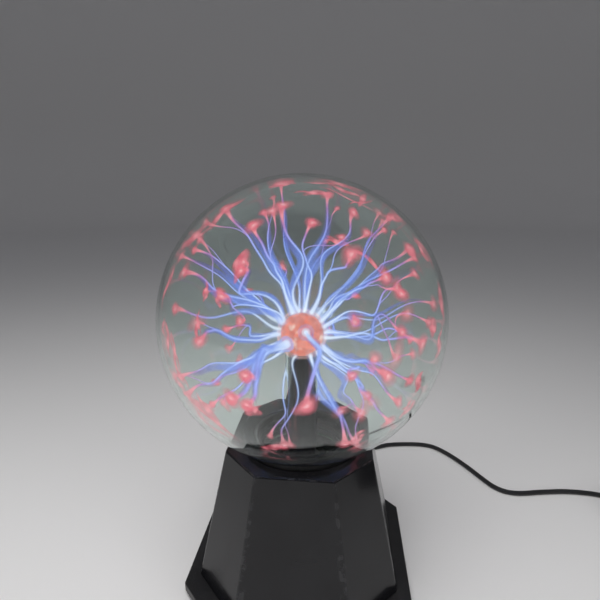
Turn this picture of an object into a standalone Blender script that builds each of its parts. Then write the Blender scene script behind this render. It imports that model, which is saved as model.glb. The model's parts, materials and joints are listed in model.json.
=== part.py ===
"""A table-top plasma ball: a sealed glass globe with a centre electrode on a flared eight-sided base.

Units are metres and +Z is up. The origin is on the table, under the middle of the base. The front
of the base faces -Y; the switch, the microphone and the power inlet are in the rear wall, at +Y.
The power lead lies on the table behind and to the right, ends in a tied coil, and carries a wall
adapter.
"""

import math

import bmesh
import bpy
from mathutils import Vector

# ---------------------------------------------------------------- clearances

GAP = 0.0003  # between faces that touch
CLEARANCE = 0.0006  # round a piece that passes through a hole or slides in a slot

# ---------------------------------------------------------------- glass

GLOBE_RADIUS = 0.100
GLASS_WALL = 0.0022
NECK_RADIUS = 0.0357
NECK_DEPTH = 0.0206  # the neck's reach below the rim of the base
SEAT_LIFT = 0.0020  # the ball's height above the rim at the gasket's inner edge
SEAT_MARGIN = 0.0016  # from the neck to the gasket

ELECTRODE_RADIUS = 0.0172
ELECTRODE_DROP = 0.0123  # the electrode's centre below the globe's centre
STEM_RADIUS = 0.0123
STEM_WALL = 0.0010
FLARE_HEIGHT = 0.012
SLEEVE_WALL = 0.0012
LEAD_RADIUS = 0.0015  # high-voltage lead

GASKET_WIDTH = 0.0087

# ---------------------------------------------------------------- base

RIM_HEIGHT = 0.1112  # the base's flat top above the table
RIM_LAND = 0.0176  # from the neck to the middle of a side of the rim
RIM_CUT = 0.0266  # how far each corner is cut back along a side
SKIRT_HEIGHT = 0.011  # where the housing stands on the tray
SKIRT_HALF = 0.0743
SKIRT_CUT = 0.466 * SKIRT_HALF
HOUSING_WALL = 0.0026
EDGE_ROUNDING = 0.0011

PLINTH_FLANGE = 0.0093  # the tray's reach past the housing
PLINTH_CUT = 0.430 * (SKIRT_HALF + PLINTH_FLANGE)
PLINTH_UNDERSIDE = 0.003
TRAY_FLOOR = 0.003
POCKET_LAND = 0.0055  # from the housing's inner wall to the tray's pocket
TRAY_ROUNDING = 0.0008
VENT_SIZE = (0.040, 0.0026)
VENT_PITCH = 0.008
VENTS = 5
LIP_HEIGHT = 0.003
LIP_WALL = 0.0018

FOOT_RADIUS = 0.0065
FOOT_RECESS = 0.0010
FOOT_INSET = 0.0087  # from the plinth's cut corner to the foot's centre

POST_RADIUS = 0.0040
POST_HEIGHT = 0.0160
RIB_THICKNESS = 0.0018  # the web from a post to the housing's corner
POST_INSET = 0.0125  # from the housing's inner wall to the post's centre
BOSS_RADIUS = 0.0034
BOSS_OFFSET = 0.0108  # from the neck to the boss's centre
BOSS_HEIGHT = 0.006

COLLAR_HEIGHT = 0.007
COLLAR_STEP = 0.0004  # the ring's faces below those of its ears
EAR_MARGIN = 0.0012  # round a screw's head

SCREW_RADIUS = 0.0014
SCREW_HEAD_RADIUS = 0.0028
SCREW_HEAD_HEIGHT = 0.0019
SCREW_END = 0.0015  # left below a screw's tip in a blind hole
COLLAR_SCREW = 0.0115  # lengths under the head
BASE_SCREW = 0.0150
BOARD_SCREW = 0.0070
THROUGH = 0.001  # how far a cutter runs past the face that it opens

# ---------------------------------------------------------------- electronics

STANDOFF_HEIGHT = 0.008
STANDOFF_RADIUS = 0.0032
SCREW_INSET = 0.0045  # from the board's edges to its screws
REAR_SCREW_INSET = 0.020
BOARD_THICKNESS = 0.0016
BOARD_FRONT = -0.030
BOARD_MARGIN = 0.0065  # from the board's rear edge to the rear wall
BOARD_SIDE_MARGIN = 0.0033  # from the board's sides to the posts

CORE_BAR = 0.009
CORE_WINDOW = (0.012, 0.024)
WINDING_RADIUS = 0.0125
WINDING_HEIGHT = 0.020

JACK_X = 0.018
JACK_BODY = (0.0095, 0.0125, 0.0110)
JACK_NOSE_RADIUS = 0.0046
JACK_BORE_RADIUS = 0.0031
JACK_BORE_DEPTH = 0.0098
JACK_PIN_RADIUS = 0.0010

SWITCH_X = -0.018
SWITCH_BODY = (0.0230, 0.0080, 0.0090)
SWITCH_STEP = 0.004  # between neighbouring positions
SWITCH_STEPS = 2  # three positions
KNOB = (0.0040, 0.0030)  # across and up
KNOB_PROUD = 0.0040
CARRIAGE = (0.0080, 0.0020, 0.0050)

MICROPHONE_X = 0.0035
MICROPHONE_RADIUS = 0.0030
MICROPHONE_LENGTH = 0.0050

# ---------------------------------------------------------------- power lead

CORD_DIAMETER = 0.0045
CORD_LIFT = 0.0001  # the lead's underside above the table
GRIP_RADIUS = 0.0050
GRIP_LENGTH = 0.021
GRIP_TAIL = 0.012
BARREL_RADIUS = 0.00275
BARREL_HOLE = 0.00135

COIL_CENTRE = (0.322, 0.066)
COIL_RADIUS = 0.0245  # at the middle of its turns
COIL_WIDTH = 0.0145
COIL_HEIGHT = 0.0140
COIL_LIFT = 0.0012
TIE_WIDTH = 0.006
TIE_THICKNESS = 0.0008
TIE_SLACK = 0.0006
TIE_BEARING = math.radians(215)

ADAPTER_SIZE = (0.042, 0.064, 0.028)
ADAPTER_FRONT = -0.075
ADAPTER_RELIEF = 0.022
PRONG_SIZE = (0.0015, 0.0063, 0.0170)
PRONG_SPACING = 0.0127

# The lead's route over the table after it leaves the plug, as points (x, y) chosen by hand.
LEAD_ROUTE = (
    (0.0750, 0.1536),
    (0.0870, 0.1590),
    (0.1060, 0.1625),
    (0.1250, 0.1635),
    (0.1370, 0.1610),
    (0.1455, 0.1550),
    (0.1570, 0.1425),
    (0.1685, 0.1255),
    (0.1780, 0.1090),
    (0.1865, 0.0960),
    (0.1960, 0.0895),
    (0.2080, 0.0882),
    (0.2300, 0.0920),
    (0.2560, 0.0955),
    (0.2780, 0.0950),
    (0.2945, 0.0924),
)

FINE = 40  # sides of the large round pieces
MEDIUM = 24
COARSE = 12

# ---------------------------------------------------------------- derived places

NECK_BOTTOM = RIM_HEIGHT - NECK_DEPTH
SEAT_RADIUS = NECK_RADIUS + SEAT_MARGIN
GLOBE_Z = RIM_HEIGHT + SEAT_LIFT + math.sqrt(GLOBE_RADIUS**2 - SEAT_RADIUS**2)
ELECTRODE_Z = GLOBE_Z - ELECTRODE_DROP
RIM_HALF = NECK_RADIUS + RIM_LAND
PLINTH_HALF = SKIRT_HALF + PLINTH_FLANGE
BOARD_Z = PLINTH_UNDERSIDE + TRAY_FLOOR + STANDOFF_HEIGHT
BOARD_TOP = BOARD_Z + BOARD_THICKNESS
PART_Z = BOARD_TOP + GAP  # the underside of what stands on the board
JACK_Z = PART_Z + JACK_BODY[2] / 2
SWITCH_Z = PART_Z + SWITCH_BODY[2] / 2
CORD_Z = CORD_DIAMETER / 2 + CORD_LIFT
CORNERS = [math.radians(45 + 90 * k) for k in range(4)]


def housing_half(z):
    """Half the housing's outer width between opposite main sides at height z."""
    share = (z - SKIRT_HEIGHT) / (RIM_HEIGHT - SKIRT_HEIGHT)
    return SKIRT_HALF + share * (RIM_HALF - SKIRT_HALF)


def housing_cut(z):
    """The housing's corner cut at height z, measured along a main side."""
    share = (z - SKIRT_HEIGHT) / (RIM_HEIGHT - SKIRT_HEIGHT)
    return SKIRT_CUT + share * (RIM_CUT - SKIRT_CUT)


def corner_reach(half, cut):
    """From the axis to the cut corner's face."""
    return (2 * half - cut) / math.sqrt(2)


def inset(half, cut, by):
    """The same eight-sided outline, moved in by the same distance on every side."""
    return half - by, cut - (2 - math.sqrt(2)) * by


def at_bearing(radius, bearing, z):
    return Vector((radius * math.cos(bearing), radius * math.sin(bearing), z))


POST_RING = corner_reach(SKIRT_HALF, SKIRT_CUT) - HOUSING_WALL - POST_INSET
BOSS_RING = NECK_RADIUS + BOSS_OFFSET
FOOT_RING = corner_reach(PLINTH_HALF, PLINTH_CUT) - FOOT_INSET
BOARD_HALF = POST_RING / math.sqrt(2) - POST_RADIUS - BOARD_SIDE_MARGIN
BOARD_REAR = housing_half(BOARD_TOP) - HOUSING_WALL - BOARD_MARGIN

# ---------------------------------------------------------------- scene

for old in list(bpy.data.objects):
    bpy.data.objects.remove(old, do_unlink=True)
PARTS = bpy.data.collections.new("plasma_ball")
HELPERS = bpy.data.collections.new("cutters")
for group in (PARTS, HELPERS):
    bpy.context.scene.collection.children.link(group)


def finish(name, colour, roughness, metallic=0.0, transmission=0.0, glow=None):
    """A Principled material with the sub-part's own colour."""
    made = bpy.data.materials.new(name)
    made.use_nodes = True
    shader = made.node_tree.nodes["Principled BSDF"]
    shader.inputs["Base Color"].default_value = (*colour, 1)
    shader.inputs["Roughness"].default_value = roughness
    shader.inputs["Metallic"].default_value = metallic
    shader.inputs["Transmission Weight"].default_value = transmission
    if glow:
        shader.inputs["Emission Color"].default_value = (*glow, 1)
        shader.inputs["Emission Strength"].default_value = 1.5
    return made


CLEAR_GLASS = finish("clear_glass", (0.93, 0.98, 0.96), 0.02, transmission=1.0)
GLOWING_WOOL = finish("glowing_wool", (0.85, 0.35, 0.25), 0.5, 0.6, glow=(1.0, 0.3, 0.2))
BLACK_SLEEVE = finish("black_sleeve", (0.02, 0.02, 0.03), 0.6)
BLACK_RUBBER = finish("black_rubber", (0.02, 0.02, 0.02), 0.8)
GASKET_FOAM = finish("gasket_foam", (0.015, 0.015, 0.015), 0.95)
GLOSS_BLACK = finish("gloss_black", (0.012, 0.012, 0.014), 0.18)
SATIN_BLACK = finish("satin_black", (0.015, 0.015, 0.016), 0.45)
ZINC_STEEL = finish("zinc_steel", (0.62, 0.62, 0.60), 0.3, 1.0)
BOARD_GREEN = finish("board_green", (0.03, 0.16, 0.07), 0.45)
FERRITE = finish("ferrite", (0.06, 0.06, 0.065), 0.6)
WINDING_TAPE = finish("winding_tape", (0.55, 0.42, 0.10), 0.4)
HEAT_SINK_ALUMINIUM = finish("heat_sink_aluminium", (0.55, 0.56, 0.58), 0.4, 1.0)
COMPONENT_BLACK = finish("component_black", (0.02, 0.02, 0.022), 0.35)
CAPACITOR_BLUE = finish("capacitor_blue", (0.04, 0.08, 0.25), 0.35)
BRIGHT_METAL = finish("bright_metal", (0.8, 0.8, 0.78), 0.2, 1.0)
LEAD_RED = finish("lead_red", (0.45, 0.03, 0.03), 0.5)
CORD_BLACK = finish("cord_black", (0.015, 0.015, 0.015), 0.5)


# ---------------------------------------------------------------- modelling tools


def add(name, mesh, look=None):
    """An object for a sub-part; without a finish it is a helper, which isn't rendered."""
    made = bpy.data.objects.new(name, mesh)
    if look is None:
        made.hide_render = True
        made.display_type = "WIRE"
        HELPERS.objects.link(made)
    else:
        mesh.materials.append(look)
        PARTS.objects.link(made)
    return made


def from_bmesh(name, bm, look=None):
    mesh = bpy.data.meshes.new(name)
    bm.to_mesh(mesh)
    bm.free()
    return add(name, mesh, look)


def bevel(obj, width, segments=2):
    rounding = obj.modifiers.new("rounding", "BEVEL")
    rounding.width = width
    rounding.segments = segments
    rounding.limit_method = "ANGLE"
    rounding.angle_limit = math.radians(30)
    return obj


def boolean(obj, other, operation):
    change = obj.modifiers.new(other.name, "BOOLEAN")
    change.operation = operation
    change.solver = "EXACT"
    change.object = other


def cut(obj, *others):
    for other in others:
        boolean(obj, other, "DIFFERENCE")
    return obj


def join(obj, *others):
    for other in others:
        boolean(obj, other, "UNION")
    return obj


def aim(obj, place, direction=(0, 0, 1)):
    """Puts the object's own origin at place and turns its +Z to direction."""
    obj.location = place
    obj.rotation_euler = Vector(direction).to_track_quat("Z", "Y").to_euler()
    return obj


def box(name, size, centre, look=None, rounding=0.0):
    bm = bmesh.new()
    bmesh.ops.create_cube(bm, size=1)
    bmesh.ops.scale(bm, vec=size, verts=bm.verts)
    made = from_bmesh(name, bm, look)
    made.location = centre
    return bevel(made, rounding) if rounding else made


def rod(name, radius, length, foot, direction=(0, 0, 1), look=None, sides=MEDIUM):
    """A cylinder that starts at foot and runs along direction."""
    bm = bmesh.new()
    bmesh.ops.create_cone(
        bm, cap_ends=True, segments=sides, radius1=radius, radius2=radius, depth=length
    )
    bmesh.ops.translate(bm, vec=(0, 0, length / 2), verts=bm.verts)
    return aim(from_bmesh(name, bm, look), foot, direction)


def turned(name, outline, look=None, sides=MEDIUM):
    """A turned solid from (radius, height) points that run down its outer side.

    The outline starts and ends on the axis, or closes on itself to make a ring.
    """
    count = len(outline)
    edges = [(k, k + 1) for k in range(count - 1)]
    if outline[0][0] > 0:
        edges.append((count - 1, 0))
    mesh = bpy.data.meshes.new(name)
    mesh.from_pydata([(radius, 0, height) for radius, height in outline], edges, [])
    made = add(name, mesh, look)
    screw = made.modifiers.new("turn", "SCREW")
    screw.steps = screw.render_steps = sides
    screw.use_merge_vertices = True
    screw.merge_threshold = 0.00001
    screw.use_smooth_shade = True
    return made


def arc(radius, height, start, end, steps):
    """(radius, height) points on a circle round the axis point at height; degrees from the top."""
    bearings = [math.radians(start + (end - start) * k / steps) for k in range(steps + 1)]
    return [(abs(radius * math.sin(t)), height + radius * math.cos(t)) for t in bearings]


def eight_sides(half, cut_back, z):
    """The corners of a square with cut corners, anticlockwise from above."""
    quarter = [(half - cut_back, -half), (half, cut_back - half)]
    points = []
    for _ in range(4):
        points += [(x, y, z) for x, y in quarter]
        quarter = [(-y, x) for x, y in quarter]
    return points


def eight_sided(name, levels, look=None):
    """A solid whose skin passes through eight-sided outlines, each (half, cut, z), in order.

    The first and the last outline are closed with a flat face. The skin runs down the outside.
    """
    bm = bmesh.new()
    rings = [[bm.verts.new(p) for p in eight_sides(*level)] for level in levels]
    for upper, lower in zip(rings, rings[1:]):
        for k in range(8):
            bm.faces.new((upper[k - 1], lower[k - 1], lower[k], upper[k]))
    bm.faces.new(rings[0])
    bm.faces.new(rings[-1][::-1])
    return from_bmesh(name, bm, look)


def smooth_route(points, spacing):
    """Evenly spaced points on a centripetal Catmull-Rom curve through the given points."""
    knots = [Vector(p) for p in points]
    knots = [2 * knots[0] - knots[1], *knots, 2 * knots[-1] - knots[-2]]
    dense = []
    for a, b, c, d in zip(knots, knots[1:], knots[2:], knots[3:]):
        t1 = (b - a).length ** 0.5
        t2 = t1 + (c - b).length ** 0.5
        t3 = t2 + (d - c).length ** 0.5
        for k in range(24):
            t = t1 + (t2 - t1) * k / 24
            ab = a.lerp(b, t / t1)
            bc = b.lerp(c, (t - t1) / (t2 - t1))
            cd = c.lerp(d, (t - t2) / (t3 - t2))
            abc = ab.lerp(bc, t / t2)
            bcd = bc.lerp(cd, (t - t1) / (t3 - t1))
            dense.append(abc.lerp(bcd, (t - t1) / (t2 - t1)))
    dense.append(knots[-2])
    steps = [0.0]
    for a, b in zip(dense, dense[1:]):
        steps.append(steps[-1] + (b - a).length)
    count = max(2, round(steps[-1] / spacing))
    even = []
    place = 0
    for k in range(count + 1):
        along = steps[-1] * k / count
        while place < len(steps) - 2 and steps[place + 1] < along:
            place += 1
        share = (along - steps[place]) / (steps[place + 1] - steps[place])
        even.append(dense[place].lerp(dense[place + 1], min(share, 1.0)))
    return even


def tube(name, points, radius, look, resolution=2):
    """A round tube along the points, with closed ends."""
    curve = bpy.data.curves.new(name, "CURVE")
    curve.dimensions = "3D"
    curve.bevel_depth = radius
    curve.bevel_resolution = resolution
    curve.use_fill_caps = True
    spline = curve.splines.new("POLY")
    spline.points.add(len(points) - 1)
    for knot, place in zip(spline.points, points):
        knot.co = (*place, 1)
    curve.materials.append(look)
    made = bpy.data.objects.new(name, curve)
    PARTS.objects.link(made)
    return made


def flat_plate(name, outlines, thickness, look):
    """A flat piece from closed 2D outlines, the later ones being holes."""
    curve = bpy.data.curves.new(name, "CURVE")
    curve.dimensions = "2D"
    curve.fill_mode = "BOTH"
    curve.extrude = thickness / 2
    for outline in outlines:
        spline = curve.splines.new("POLY")
        spline.use_cyclic_u = True
        spline.points.add(len(outline) - 1)
        for knot, (x, y) in zip(spline.points, outline):
            knot.co = (x, y, 0, 1)
    curve.materials.append(look)
    made = bpy.data.objects.new(name, curve)
    PARTS.objects.link(made)
    return made


def rectangle(width, height, x=0.0, y=0.0):
    half_w, half_h = width / 2, height / 2
    corners = ((-half_w, -half_h), (half_w, -half_h), (half_w, half_h), (-half_w, half_h))
    return [(x + u, y + v) for u, v in corners]


# ---------------------------------------------------------------- glass and electrode


def make_globe():
    """The blown ball and its neck, one open shell."""
    turn = 180 - math.degrees(math.asin(NECK_RADIUS / GLOBE_RADIUS))
    inner_radius = GLOBE_RADIUS - GLASS_WALL
    neck_inner = NECK_RADIUS - GLASS_WALL
    inner_turn = 180 - math.degrees(math.asin(neck_inner / inner_radius))
    outline = arc(GLOBE_RADIUS, GLOBE_Z, 0, turn, 16)
    outline += [(NECK_RADIUS, NECK_BOTTOM), (neck_inner, NECK_BOTTOM)]
    outline += arc(inner_radius, GLOBE_Z, inner_turn, 0, 16)
    turned("globe_glass", outline, CLEAR_GLASS, FINE)


def flare(offset):
    """A quarter ellipse from the stem's tube out to the neck, moved in by offset along its normal."""
    reach = NECK_RADIUS - GLASS_WALL - GAP - STEM_RADIUS
    points = []
    for k in range(5):
        t = math.radians(90 * k / 4)
        radius = STEM_RADIUS + reach * (1 - math.cos(t)) - offset * math.cos(t)
        height = NECK_BOTTOM + STEM_WALL + FLARE_HEIGHT * (1 - math.sin(t)) - offset * math.sin(t)
        points.append((radius, height))
    return points


def make_stem():
    """The re-entrant tube with its hollow ball, open at the bottom and flared out to the neck."""
    turn = 180 - math.degrees(math.asin(STEM_RADIUS / ELECTRODE_RADIUS))
    inner_ball = ELECTRODE_RADIUS - STEM_WALL
    inner_tube = STEM_RADIUS - STEM_WALL
    inner_turn = 180 - math.degrees(math.asin(inner_tube / inner_ball))
    outline = arc(ELECTRODE_RADIUS, ELECTRODE_Z, 0, turn, 9)
    outline += flare(0)
    outline += flare(STEM_WALL)[::-1]
    outline += arc(inner_ball, ELECTRODE_Z, inner_turn, 0, 9)
    turned("stem_glass", outline, CLEAR_GLASS, MEDIUM)


def make_electrode():
    """What fills the stem: the conductive ball, its sleeve, the boot and the high-voltage lead."""
    wool_radius = ELECTRODE_RADIUS - STEM_WALL - GAP
    turned("electrode_wool", arc(wool_radius, ELECTRODE_Z, 0, 180, 10), GLOWING_WOOL, MEDIUM)

    sleeve_outer = STEM_RADIUS - STEM_WALL - GAP
    sleeve_inner = sleeve_outer - SLEEVE_WALL
    sleeve_top = ELECTRODE_Z - math.sqrt(wool_radius**2 - sleeve_inner**2) - GAP
    boot_top = NECK_BOTTOM + 0.004
    sleeve_bottom = boot_top + GAP
    sleeve = [
        (sleeve_outer, sleeve_top),
        (sleeve_outer, sleeve_bottom),
        (sleeve_inner, sleeve_bottom),
        (sleeve_inner, sleeve_top),
    ]
    turned("stem_sleeve", sleeve, BLACK_SLEEVE, MEDIUM)

    boot_bore = LEAD_RADIUS + CLEARANCE
    flange_radius = STEM_RADIUS + 0.003
    flange_top = NECK_BOTTOM - 0.0012
    boot = [
        (sleeve_outer, boot_top),
        (sleeve_outer, flange_top),
        (flange_radius, flange_top),
        (flange_radius, flange_top - 0.0025),
        (boot_bore, flange_top - 0.0025),
        (boot_bore, boot_top),
    ]
    turned("stem_boot", boot, BLACK_RUBBER, MEDIUM)

    core_x = winding_place()[0]
    lead = [
        (0, 0, ELECTRODE_Z - wool_radius - GAP),
        (0, 0, (ELECTRODE_Z + NECK_BOTTOM) / 2),
        (0, 0, NECK_BOTTOM),
        (0, 0, NECK_BOTTOM - 0.008),
        (core_x * 0.3, 0.003, NECK_BOTTOM - 0.019),
        (core_x * 0.75, 0.005, NECK_BOTTOM - 0.030),
        (core_x, lead_landing(), winding_top() + 0.012),
        (core_x, lead_landing(), winding_top() + GAP),
    ]
    tube("high_voltage_lead", smooth_route(lead, 0.006), LEAD_RADIUS, LEAD_RED)


def winding_place():
    """The middle of the winding on the transformer's left leg."""
    return Vector((-0.0225, -0.010, core_z()))


def core_z():
    return PART_Z + CORE_BAR + CORE_WINDOW[1] / 2


def winding_top():
    return core_z() + WINDING_HEIGHT / 2


def lead_landing():
    """Where the lead meets the winding, behind the core's top bar."""
    return winding_place().y + (CORE_BAR / 2 + WINDING_RADIUS) / 2


def make_seat():
    """The foam ring under the ball and the collar that holds the neck."""
    outer_radius = SEAT_RADIUS + GASKET_WIDTH
    under_ball = [
        (radius, GLOBE_Z - math.sqrt((GLOBE_RADIUS + GAP) ** 2 - radius**2))
        for radius in (SEAT_RADIUS + GASKET_WIDTH * k / 4 for k in range(4, -1, -1))
    ]
    bottom = RIM_HEIGHT + GAP
    outline = [(outer_radius, bottom), (SEAT_RADIUS, bottom)] + under_ball[::-1]
    turned("globe_gasket", outline, GASKET_FOAM, FINE)

    top = RIM_HEIGHT - HOUSING_WALL - BOSS_HEIGHT - GAP
    bottom = top - COLLAR_HEIGHT
    inner_radius = NECK_RADIUS + CLEARANCE
    outer_radius = BOSS_RING - SCREW_RADIUS
    outline = [
        (outer_radius, top - COLLAR_STEP),
        (outer_radius, bottom + COLLAR_STEP),
        (inner_radius - GAP, bottom + COLLAR_STEP),
        (inner_radius - GAP, top - COLLAR_STEP),
    ]
    collar = turned("neck_collar", outline, SATIN_BLACK, FINE)
    ear_radius = SCREW_HEAD_RADIUS + EAR_MARGIN
    for k, bearing in enumerate(CORNERS):
        foot = at_bearing(BOSS_RING, bearing, bottom)
        ear = rod(f"collar_ear_{k + 1}", ear_radius, COLLAR_HEIGHT, foot, sides=COARSE)
        join(collar, ear)
    neck_bore = rod("collar_bore", inner_radius, 0.03, (0, 0, bottom - 0.01), sides=FINE)
    cut(collar, neck_bore)
    for k, bearing in enumerate(CORNERS):
        foot = at_bearing(BOSS_RING, bearing, bottom - THROUGH)
        length = COLLAR_HEIGHT + 2 * THROUGH
        hole = rod(f"collar_hole_{k + 1}", SCREW_RADIUS + GAP, length, foot, sides=COARSE)
        cut(collar, hole)
        seat = at_bearing(BOSS_RING, bearing, bottom - GAP)
        place_screw(f"collar_screw_{k + 1}", seat, COLLAR_SCREW)


# ---------------------------------------------------------------- fasteners


def place_screw(name, seat, length, direction=(0, 0, 1)):
    """A pan-head screw whose head bears at seat and whose shank runs along direction."""
    head = SCREW_HEAD_HEIGHT
    outline = [
        (0, length),
        (SCREW_RADIUS * 0.4, length),
        (SCREW_RADIUS, length - SCREW_RADIUS * 1.2),
        (SCREW_RADIUS, 0),
        (SCREW_HEAD_RADIUS, 0),
        (SCREW_HEAD_RADIUS, -head * 0.45),
        (SCREW_HEAD_RADIUS * 0.72, -head),
        (0, -head),
    ]
    return aim(turned(name, outline, ZINC_STEEL, COARSE), seat, direction)


# ---------------------------------------------------------------- housing and tray


def make_housing():
    """The flared cover, with bosses for the collar, posts for the tray and holes in its rear."""
    ceiling = RIM_HEIGHT - HOUSING_WALL
    outer_top = (RIM_HALF, RIM_CUT, RIM_HEIGHT)
    outer_bottom = (SKIRT_HALF, SKIRT_CUT, SKIRT_HEIGHT)
    inner_bottom = (*inset(SKIRT_HALF, SKIRT_CUT, HOUSING_WALL), SKIRT_HEIGHT)
    inner_top = (*inset(housing_half(ceiling), housing_cut(ceiling), HOUSING_WALL), ceiling)
    housing = eight_sided(
        "base_housing", [outer_top, outer_bottom, inner_bottom, inner_top], GLOSS_BLACK
    )
    bevel(housing, EDGE_ROUNDING)

    # A web joins each post to the sloping wall of its corner near the post's top.
    post_foot = SKIRT_HEIGHT + EDGE_ROUNDING
    post_top = post_foot + POST_HEIGHT
    rib_end = corner_reach(housing_half(post_top), housing_cut(post_top)) - HOUSING_WALL / 2
    rib_height = POST_HEIGHT - LIP_HEIGHT - THROUGH
    boss_depth = COLLAR_SCREW - COLLAR_HEIGHT + SCREW_END
    post_depth = screw_seat() + BASE_SCREW + SCREW_END - post_foot
    for k, bearing in enumerate(CORNERS):
        boss_foot = at_bearing(BOSS_RING, bearing, ceiling - BOSS_HEIGHT)
        boss = rod(f"boss_{k + 1}", BOSS_RADIUS, BOSS_HEIGHT + THROUGH, boss_foot, sides=COARSE)
        foot = at_bearing(POST_RING, bearing, post_foot)
        post = rod(f"post_{k + 1}", POST_RADIUS, POST_HEIGHT, foot, sides=COARSE)
        middle = at_bearing((POST_RING + rib_end) / 2, bearing, post_top - THROUGH - rib_height / 2)
        rib = box(f"rib_{k + 1}", (rib_end - POST_RING, RIB_THICKNESS, rib_height), middle)
        rib.rotation_euler = (0, 0, bearing)
        join(housing, boss, post, rib)
    for k, bearing in enumerate(CORNERS):
        boss_hole = at_bearing(BOSS_RING, bearing, ceiling - BOSS_HEIGHT - THROUGH)
        post_hole = at_bearing(POST_RING, bearing, post_foot - THROUGH)
        cut(
            housing,
            rod(f"boss_hole_{k + 1}", SCREW_RADIUS + GAP, boss_depth, boss_hole, sides=COARSE),
            rod(f"post_hole_{k + 1}", SCREW_RADIUS + GAP, post_depth, post_hole, sides=COARSE),
        )
    neck_hole = rod(
        "neck_hole", NECK_RADIUS + CLEARANCE, 0.02, (0, 0, RIM_HEIGHT - 0.01), sides=FINE
    )
    behind = housing_half(JACK_Z) - 0.010
    jack_hole = rod(
        "jack_hole", JACK_NOSE_RADIUS + CLEARANCE, 0.02, (JACK_X, behind, JACK_Z), (0, 1, 0)
    )
    sound_hole = rod(
        "sound_hole", 0.0012, 0.02, (MICROPHONE_X, behind, microphone_z()), (0, 1, 0), sides=COARSE
    )
    travel = SWITCH_STEP * SWITCH_STEPS
    slot_size = (KNOB[0] + travel + 2 * CLEARANCE, 0.02, KNOB[1] + 2 * CLEARANCE)
    slot = box("switch_slot", slot_size, (SWITCH_X, housing_half(SWITCH_Z), SWITCH_Z))
    cut(housing, neck_hole, jack_hole, sound_hole, slot)


def make_tray():
    """The plinth that closes the base, with its lip, standoffs, vents and screw holes."""
    top = SKIRT_HEIGHT - GAP
    floor = PLINTH_UNDERSIDE + TRAY_FLOOR
    lip_top = top + LIP_HEIGHT
    lip_outer = inset(housing_half(lip_top), housing_cut(lip_top), HOUSING_WALL + CLEARANCE)
    lip_inner = inset(*lip_outer, LIP_WALL)
    pocket_half = SKIRT_HALF - HOUSING_WALL - POCKET_LAND
    pocket_reach = POST_RING - POST_RADIUS - 0.001
    pocket = (pocket_half, 2 * pocket_half - math.sqrt(2) * pocket_reach)
    tray = eight_sided(
        "base_tray",
        [
            (*pocket, floor),
            (*pocket, top),
            (*lip_inner, top),
            (*lip_inner, lip_top),
            (*lip_outer, lip_top),
            (*lip_outer, top),
            (PLINTH_HALF, PLINTH_CUT, top),
            (PLINTH_HALF, PLINTH_CUT, PLINTH_UNDERSIDE),
        ],
        SATIN_BLACK,
    )
    bevel(tray, TRAY_ROUNDING)
    height = STANDOFF_HEIGHT + THROUGH - GAP
    for k, (x, y) in enumerate(board_screw_places()):
        foot = (x, y, floor - THROUGH)
        standoff = rod(f"standoff_{k + 1}", STANDOFF_RADIUS, height, foot, sides=COARSE)
        join(tray, standoff)
        foot = (x, y, floor + THROUGH)
        hole = rod(f"standoff_hole_{k + 1}", SCREW_RADIUS + GAP, height, foot, sides=COARSE)
        cut(tray, hole)
    for k in range(VENTS):
        y = VENT_PITCH * (k - (VENTS - 1) / 2)
        cut(tray, box(f"vent_{k + 1}", (*VENT_SIZE, 4 * floor), (0, y, floor)))
    for k, bearing in enumerate(CORNERS):
        through = at_bearing(POST_RING, bearing, 0)
        counterbore = at_bearing(POST_RING, bearing, 0)
        recess = at_bearing(FOOT_RING, bearing, 0)
        cut(
            tray,
            rod(f"screw_hole_{k + 1}", SCREW_RADIUS + GAP, 0.02, through, sides=COARSE),
            rod(f"counterbore_{k + 1}", SCREW_HEAD_RADIUS + CLEARANCE, screw_seat(), counterbore),
            rod(f"foot_recess_{k + 1}", FOOT_RADIUS + GAP, PLINTH_UNDERSIDE + FOOT_RECESS, recess),
        )
        seat = at_bearing(POST_RING, bearing, screw_seat() - GAP)
        place_screw(f"base_screw_{k + 1}", seat, BASE_SCREW)
        foot_top = PLINTH_UNDERSIDE + FOOT_RECESS - GAP
        outline = [
            (0, foot_top),
            (FOOT_RADIUS, foot_top),
            (FOOT_RADIUS, 0.0008),
            (FOOT_RADIUS - 0.0008, 0),
            (0, 0),
        ]
        foot = turned(f"foot_{k + 1}", outline, BLACK_RUBBER, MEDIUM)
        foot.location = at_bearing(FOOT_RING, bearing, 0)


def screw_seat():
    """The height at which the heads of the base screws bear."""
    return PLINTH_UNDERSIDE + TRAY_FLOOR


# ---------------------------------------------------------------- electronics


def board_screw_places():
    across = BOARD_HALF - SCREW_INSET
    rows = (BOARD_FRONT + SCREW_INSET, BOARD_REAR - REAR_SCREW_INSET)
    return [(x, y) for y in rows for x in (-across, across)]


def microphone_z():
    return PART_Z + MICROPHONE_RADIUS


def make_board():
    length = BOARD_REAR - BOARD_FRONT
    board = box(
        "circuit_board",
        (2 * BOARD_HALF, length, BOARD_THICKNESS),
        (0, (BOARD_FRONT + BOARD_REAR) / 2, BOARD_Z + BOARD_THICKNESS / 2),
        BOARD_GREEN,
    )
    for k, (x, y) in enumerate(board_screw_places()):
        foot = (x, y, BOARD_Z - THROUGH)
        length = BOARD_THICKNESS + 2 * THROUGH
        cut(board, rod(f"board_hole_{k + 1}", SCREW_RADIUS + GAP, length, foot, sides=COARSE))
        place_screw(f"board_screw_{k + 1}", (x, y, BOARD_TOP + GAP), BOARD_SCREW, (0, 0, -1))


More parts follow.
